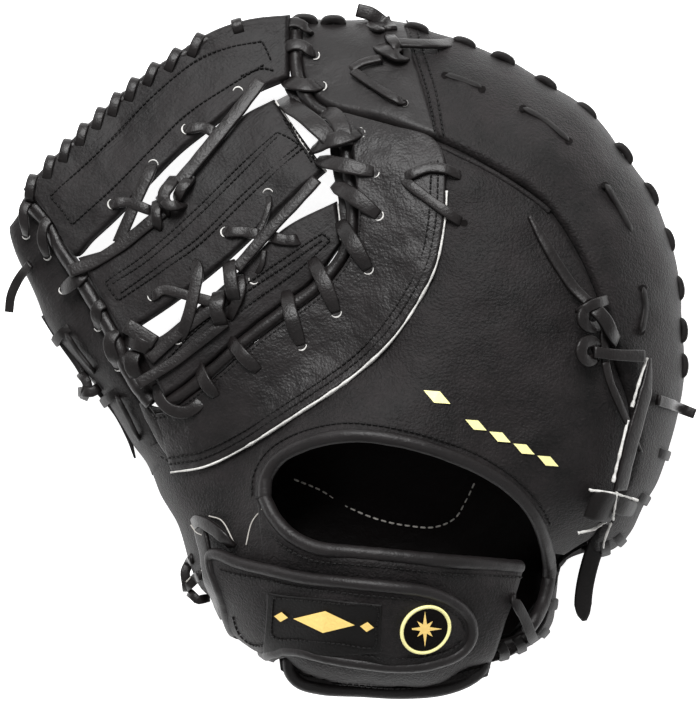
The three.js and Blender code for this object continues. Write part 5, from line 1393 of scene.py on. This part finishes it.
# On the web, in photograph pixels: three rows along the bars' middles, the bars' ends, the double
# borders of the middle bar, the border of the outer bar, and the rows at the cut end of the middle bar
WEB_STITCHES = [
    [(112, 284), (153, 256), (204, 210), (244, 170), (277, 137)],
    [(120, 293), (158, 266), (197, 238), (248, 189), (298, 145)],
    [(164, 362), (198, 328), (253, 287), (292, 261), (322, 240)],
    [(277, 132), (290, 138), (303, 147)],
    [(322, 233), (326, 236), (330, 240)],
    [(105, 282), (150, 250), (200, 205), (240, 165), (277, 132)],
    [(118, 300), (160, 272), (200, 243), (250, 195), (303, 147)],
    [(105, 282), (110, 290), (118, 300)],
    [(160, 357), (195, 322), (250, 281), (290, 254), (322, 233)],
    [(172, 368), (210, 338), (255, 300), (300, 268), (330, 240)],
    [(50, 196), (100, 150), (150, 98), (200, 58), (230, 47), (262, 41)],
    [(72, 224), (110, 190), (150, 150), (185, 115), (230, 85), (264, 64)],
    [(262, 41), (267, 51), (271, 60)],
    [(50, 196), (60, 208), (72, 224)],
    [(274, 70), (262, 68), (240, 76)],
]
BAR_END_STITCHES = [[(290, 122), (305, 145), (320, 168)], [(283, 117), (297.5, 139.5), (312, 162)]]
WEB_STITCH_LEVEL = WEB_THICKNESS + 0.85
BAR_END_LEVEL = WEB_THICKNESS + 0.8
PATCH_STITCHES = [
    (273, 598), (300, 600), (340, 604), (377, 608), (376, 628), (374, 647), (340, 644), (300, 640),
    (273, 637), (272, 617), (273, 599),
]
PATCH_STITCH_LEVEL = STRAP_TOP + 1.75
INNER_STITCHES = [
    (293, 479), (320, 490), (350, 508), (380, 520), (410, 526), (435, 527), (455, 518), (466, 500),
    (475, 482),
]
FINE_STITCH = {"pitch": 2.3, "length": 1.9, "radius": 0.42}


def made_stitching():
    """All black stitching as one piece, and the pale row on the lining inside the hand opening."""
    build = Build()

    def row(curve, offset, level, **kind):
        """A whole row beside a plan curve."""
        stitches(build, *on_plan(back_height, moved_right(curve, offset), level), **kind)

    def part_row(curve, offset, level, first, last):
        """A row beside a part of a plan curve, from one point's number to another."""
        stitches(build, *on_plan(back_height, moved_right(curve, offset)[first:last], level))

    for offset, level in CRESCENT_ROWS:
        part_row(plan(CRESCENT_OUTER, 300), offset, level, CRESCENT_SKIPPED, None)
    row(plan(FINGER_SIDE[7:] + [CROTCH_END], 200), *BESIDE_LACING_ROW, pitch=2.4, length=1.5)
    for offset, level in SEAM_ROWS:
        row(plan(RADIAL_SEAM, 120), offset, level)
    part_row(plan(OPENING_TOP, 200), *OPENING_TOP_ROW, 0, 150)
    part_row(plan(OPENING_LOWER, 200), *OPENING_LOWER_ROW, 20, None)
    row(plan(BAND_LOWER, 160), *WRIST_ROW)
    row(plan(THUMB_ROOT_STITCHES, 20), *THUMB_ROOT_ROW)
    upper = spline(plan_under(back_height, STRAP_TOP_ROUTE, STRAP_MIDDLE), 160)
    lower = spline(plan_under(back_height, STRAP_LOW_ROUTE, STRAP_MIDDLE), 160)
    part_row(upper, STRAP_ROW_INSET, STRAP_ROW_LEVEL, 6, None)
    part_row(lower, -STRAP_ROW_INSET, STRAP_ROW_LEVEL, 6, -6)
    for route in WEB_STITCHES:
        stitches(build, *drawn(web_height, flat(route, WEB_STITCH_LEVEL), 80), **FINE_STITCH)
    for route in BAR_END_STITCHES:
        stitches(build, *drawn(web_height, flat(route, BAR_END_LEVEL), 80), **FINE_STITCH)
    stitches(build, *drawn(back_height, flat(PATCH_STITCHES, PATCH_STITCH_LEVEL), 80), pitch=2.3, length=1.9,
             radius=0.4)
    finished("black_stitching", build, THREAD)

    build = Build()
    stitches(build, *drawn(palm_height, flat(INNER_STITCHES, LINING_TOP + 0.2), 120), pitch=3.6, length=2.5,
             radius=0.42)
    finished("pale_inner_stitching", build, PALE_THREAD)


# Pale cut edges. The crescent's runs along its outer line from one of its points on; the others are
# routes in photograph pixels, and the side strips' are (route, width, height, level over the back)
CRESCENT_EDGE_FIRST = 78
CRESCENT_EDGE_SHIFT = -0.35
CRESCENT_EDGE_LEVEL = OVERLAY_TOP - 0.9
BAR_END_EDGES = [
    [(276, 102), (290, 122), (305, 147), (326, 171)], [(338, 204), (340, 222), (341, 240)],
]
STRIP_EDGES = [
    ([(647, 358), (638, 386), (632, 407)], 0.8, 1.4, ON_BAND + 1.5),
    ([(628, 420), (620, 453), (613, 482)], 0.8, 1.4, ON_BAND + 1.5),
    ([(590, 490), (612, 493), (637, 500)], 1.0, 1.6, 9.4),
    ([(578, 533), (594, 529), (606, 521)], 0.9, 1.2, 9.0),
    ([(611, 523), (608, 537), (603, 553)], 0.7, 1.2, 8.6),
    ([(617, 492), (615, 505), (613, 520)], 0.6, 1.2, 10.0),
]
# Pale lines of thread by the thumb's root: (route, level over the back)
SEAM_LINES = [
    ([(262, 509), (252, 522), (246, 545)], 3.3), ([(209, 516), (222, 521), (235, 545)], 3.3),
    ([(191, 525), (196, 532), (202, 535)], 8.5), ([(186, 582), (194, 574), (203, 570)], 8.0),
]
# Holes with a pale edge: (the hole, where its lace comes from)
WEB_HOLES = [
    ((187, 129), (203, 127)), ((226, 232), (245, 232)), ((153, 296), (163, 290)), ((113, 204), (125, 202)),
    ((268, 194), (269, 204)), ((254, 279), (262, 264)), ((178, 339), (183, 330)), ((153, 165), (150, 175)),
    ((238, 92), (238, 96)),
]
FINGERTIP_HOLE = ((404, 103), (395, 97))
CREASE_HOLE = ((463, 223), (455, 217))


def cut_edge(build, points, ups, width, height):
    """A pale strip along a cut edge of leather, a little wider and narrower on its way."""
    build.add_sweep(points, ups, lace_section(width, height, 8), False, uneven(len(points), 0.35, 17))


def hole_edge(build, surface, place, towards, level, radius=2.4, spread=75):
    """A pale crescent at a lace's hole: an arc of the leather's cut edge about a photograph pixel,
    open towards where the lace comes from."""
    heading = np.degrees(np.arctan2(place[1] - towards[1], place[0] - towards[0]))
    angle = np.radians(heading + np.linspace(-spread, spread, 9))
    pixel = radius / MM_PER_PIXEL
    rows = [(place[0] + pixel * np.cos(a), place[1] + pixel * np.sin(a), level) for a in angle]
    points, ups = seated(surface, rows)
    thin = np.interp(np.linspace(-1, 1, 9), [-1, 0, 1], [0.45, 1, 0.45])
    build.add_sweep(points, ups, round_section(0.42, 6), False, thin)


def made_cut_edges():
    """Pale raw edges: of the crescent and the bars, at the laces' holes, of the side strips, and
    the thread lines at the thumb's root."""
    build = Build()
    crescent = moved_right(plan(CRESCENT_OUTER, 300)[CRESCENT_EDGE_FIRST:], CRESCENT_EDGE_SHIFT)
    cut_edge(build, *on_plan(back_height, crescent, CRESCENT_EDGE_LEVEL), 0.9, 1.5)
    for route in BAR_END_EDGES:
        cut_edge(build, *drawn(web_height, flat(route, WEB_THICKNESS - 0.4), 60), 0.8, 1.6)
    finished("leather_cut_edges", build, RAW)

    build = Build()
    for route, _ in FINGER_WRAPS[4:6] + FINGER_WRAPS[7:]:
        hole_edge(build, back_height, route[-1], route[-2], OVERLAY_TOP + 0.3)
    for route, _ in FINGER_WRAPS[1:3]:
        hole_edge(build, back_height, route[-1], route[-2], BAND_THICKNESS + 0.8, 2.0)
    for route, _ in THUMB_WRAPS[:5]:
        hole_edge(build, back_height, route[-1], route[-2], BACK_THICKNESS + 2.0, 1.8)
    for place, towards in WEB_HOLES:
        hole_edge(build, web_height, place, towards, WEB_THICKNESS + 0.35, 2.3)
    hole_edge(build, back_height, *FINGERTIP_HOLE, BAND_THICKNESS + 1.0, 1.6)
    hole_edge(build, back_height, *CREASE_HOLE, BACK_THICKNESS + 0.4, 2.2)
    finished("hole_cut_edges", build, RAW)

    build = Build()
    for route, width, height, level in STRIP_EDGES:
        cut_edge(build, *drawn(back_height, flat(route, level), 60), width, height)
    finished("strip_cut_edges", build, RAW)

    build = Build()
    for route, level in SEAM_LINES:
        build.add_sweep(*drawn(back_height, flat(route, level), 30), round_section(0.32, 6))
    finished("pale_seam_lines", build, PALE_THREAD)


def flat_shape(build, surface, outline, level, rise):
    """A thin raised flat shape whose corners are photograph pixels, lying on a surface. Its outline's
    sense is that of the sum of its corners' cross products."""
    low, _ = seated(surface, flat(outline, level))
    high, _ = seated(surface, flat(outline, level + rise))
    count = len(outline)
    k = np.arange(count)
    walls = np.stack([k, (k + 1) % count, (k + 1) % count + count, k + count], axis=1)
    area = sum(a[0] * b[1] - a[1] * b[0] for a, b in zip(outline, outline[1:] + outline[:1]))
    top, floor = (k + count)[None], k[::-1][None]
    if area > 0:
        walls, top, floor = walls[:, ::-1], top[:, ::-1], floor[:, ::-1]
    build.add(np.vstack([low, high]), [walls, top, floor])


def lozenge(centre, long, wide, angle):
    """Corners of a long diamond in photograph pixels, turned by an angle in degrees."""
    turn = np.radians(angle)
    ahead, side = np.array([np.cos(turn), np.sin(turn)]), np.array([-np.sin(turn), np.cos(turn)])
    corners = [ahead * long / 2, side * wide / 2, -ahead * long / 2, -side * wide / 2]
    return [tuple(np.add(centre, corner)) for corner in corners]


# Holes that the short laces go into, in photograph pixels, where dark ovals paint their shade: in the finger
# band, and in the back
BAND_HOLES = [
    (445, 75), (482, 89), (523, 108), (569, 141), (605, 185), (632, 232), (643, 288), (641, 332),
]
BACK_HOLES = [(464, 223)]
TIP_HOLES = [(404, 103)]
HOLE_SIDES = 12
HOLE_RADII = (4.0, 3.4)
BAND_HOLE_LEVEL = BAND_THICKNESS + 1.35
BACK_HOLE_LEVEL = BACK_THICKNESS + 0.5


def made_painted_hole_shade():
    """Painted shade in the mouths of the holes that the short laces go into: small flat dark ovals."""
    build = Build()
    turn = np.arange(HOLE_SIDES) * 2 * np.pi / HOLE_SIDES
    wide, high = HOLE_RADII
    for places, level in ((BAND_HOLES, BAND_HOLE_LEVEL), (BACK_HOLES, BACK_HOLE_LEVEL),
                          (TIP_HOLES, BAND_HOLE_LEVEL)):
        for x, y in places:
            oval = [(x + wide * a, y + high * b) for a, b in zip(np.cos(turn), np.sin(turn))]
            flat_shape(build, back_height, oval, level, ORNAMENT_RISE)
    # The ovals take the darkest leather finish as painted shade of the holes.
    finished("painted_hole_shade", build, DARK_LEATHER_AND_HOLE_SHADE, faceted=True)


# Plain diamonds, in photograph pixels: (x, y, length) on the back, (x, y, length, width) on the
# patch, and a plain star: its points' radii in turn
BACK_DIAMONDS = [(437, 397, 30), (476, 425, 24), (500, 437, 24), (524, 449, 24), (548, 461, 24)]
BACK_DIAMOND_SHARE = 0.42
BACK_DIAMOND_TURN = 27
BACK_DIAMOND_RISE = 0.35
PATCH_DIAMONDS = [(324, 622, 62, 22), (281, 617, 14, 10), (367, 627, 14, 10)]
PATCH_DIAMOND_TURN = 6
STAR_RADII = [18, 5, 11, 5] * 4
STAR_LEVEL = STRAP_TOP + 2.0


def made_ornaments():
    """Plain diamonds on the back and the patch, and a plain star on the badge."""
    build = Build()
    for x, y, long in BACK_DIAMONDS:
        corners = lozenge((x, y), long, long * BACK_DIAMOND_SHARE, BACK_DIAMOND_TURN)
        flat_shape(build, back_height, corners, BACK_THICKNESS + 1.0, BACK_DIAMOND_RISE)
    finished("back_diamonds", build, FOIL, faceted=True)
    build = Build()
    for x, y, long, wide in PATCH_DIAMONDS:
        flat_shape(build, back_height, lozenge((x, y), long, wide, PATCH_DIAMOND_TURN), PATCH_STITCH_LEVEL,
                   ORNAMENT_RISE)
    finished("patch_diamonds", build, GOLD, faceted=True)
    turn = np.radians(np.arange(len(STAR_RADII)) * 360 / len(STAR_RADII) - 90)
    star = [(BADGE_CENTRE[0] + radius * np.cos(a), BADGE_CENTRE[1] + radius * np.sin(a))
            for radius, a in zip(STAR_RADII, turn)]
    build = Build()
    flat_shape(build, back_height, star, STAR_LEVEL, ORNAMENT_RISE)
    finished("badge_star", build, GOLD, faceted=True)


SENSOR = 36
WORLD_LIGHT = 0.46
FLOOR_HALF = 4
FLOOR_DROP = 0.0002
FLOOR_GLOW = 0.9
# Soft lights: name, place in metres, power in watts, side in metres
LIGHTS = [("top_light", (-0.25, 1.25, 1.5), 56, 0.9), ("low_light", (0.6, -1.2, 1.6), 2.5, 1.4)]
LIGHT_TARGET = (0, 0, 0.05)


def made_camera():
    """A camera straight above the part, whose frame's height is the photograph's at REFERENCE_HEIGHT."""
    data = bpy.data.cameras.new("photo_camera")
    data.sensor_width = SENSOR
    data.lens = SENSOR * (CAMERA_HEIGHT - REFERENCE_HEIGHT) / (PHOTO_SIZE[1] * MM_PER_PIXEL)
    camera = bpy.data.objects.new("photo_camera", data)
    camera.location = (0, 0, CAMERA_HEIGHT / 1000)
    bpy.context.scene.collection.objects.link(camera)
    bpy.context.scene.camera = camera


def made_studio():
    """A pale floor, an even pale world and large soft lights, the main one above the picture's top."""
    world = bpy.data.worlds.new("studio")
    world.use_nodes = True
    background = world.node_tree.nodes["Background"]
    background.inputs["Color"].default_value = (1, 1, 1, 1)
    background.inputs["Strength"].default_value = WORLD_LIGHT
    bpy.context.scene.world = world
    mesh = bpy.data.meshes.new("floor")
    corners = [(-FLOOR_HALF, -FLOOR_HALF, 0), (FLOOR_HALF, -FLOOR_HALF, 0), (FLOOR_HALF, FLOOR_HALF, 0),
               (-FLOOR_HALF, FLOOR_HALF, 0)]
    mesh.from_pydata(corners, [], [(0, 1, 2, 3)])
    pale = bpy.data.materials.new("pale_floor")
    pale.use_nodes = True
    shader = pale.node_tree.nodes["Principled BSDF"]
    shader.inputs["Base Color"].default_value = (0.9, 0.9, 0.9, 1)
    shader.inputs["Roughness"].default_value = 1
    shader.inputs["Specular IOR Level"].default_value = 0
    shader.inputs["Emission Color"].default_value = (1, 1, 1, 1)
    shader.inputs["Emission Strength"].default_value = FLOOR_GLOW
    mesh.materials.append(pale)
    floor = bpy.data.objects.new("floor", mesh)
    floor.location = (0, 0, -FLOOR_DROP)
    bpy.context.scene.collection.objects.link(floor)
    for name, place, power, size in LIGHTS:
        data = bpy.data.lights.new(name, "AREA")
        data.energy = power
        data.size = size
        light = bpy.data.objects.new(name, data)
        light.location = place
        ahead = Vector(LIGHT_TARGET) - light.location
        light.rotation_euler = ahead.to_track_quat("-Z", "Y").to_euler()
        bpy.context.scene.collection.objects.link(light)


made_palm()
made_back()
made_web()
made_tubes()
made_whip()
made_rim_lacing()
made_bindings()
made_strap()
made_laces()
made_stitching()
made_cut_edges()
made_painted_hole_shade()
made_ornaments()
made_studio()
made_camera()
bpy.context.scene.view_settings.view_transform = "Standard"
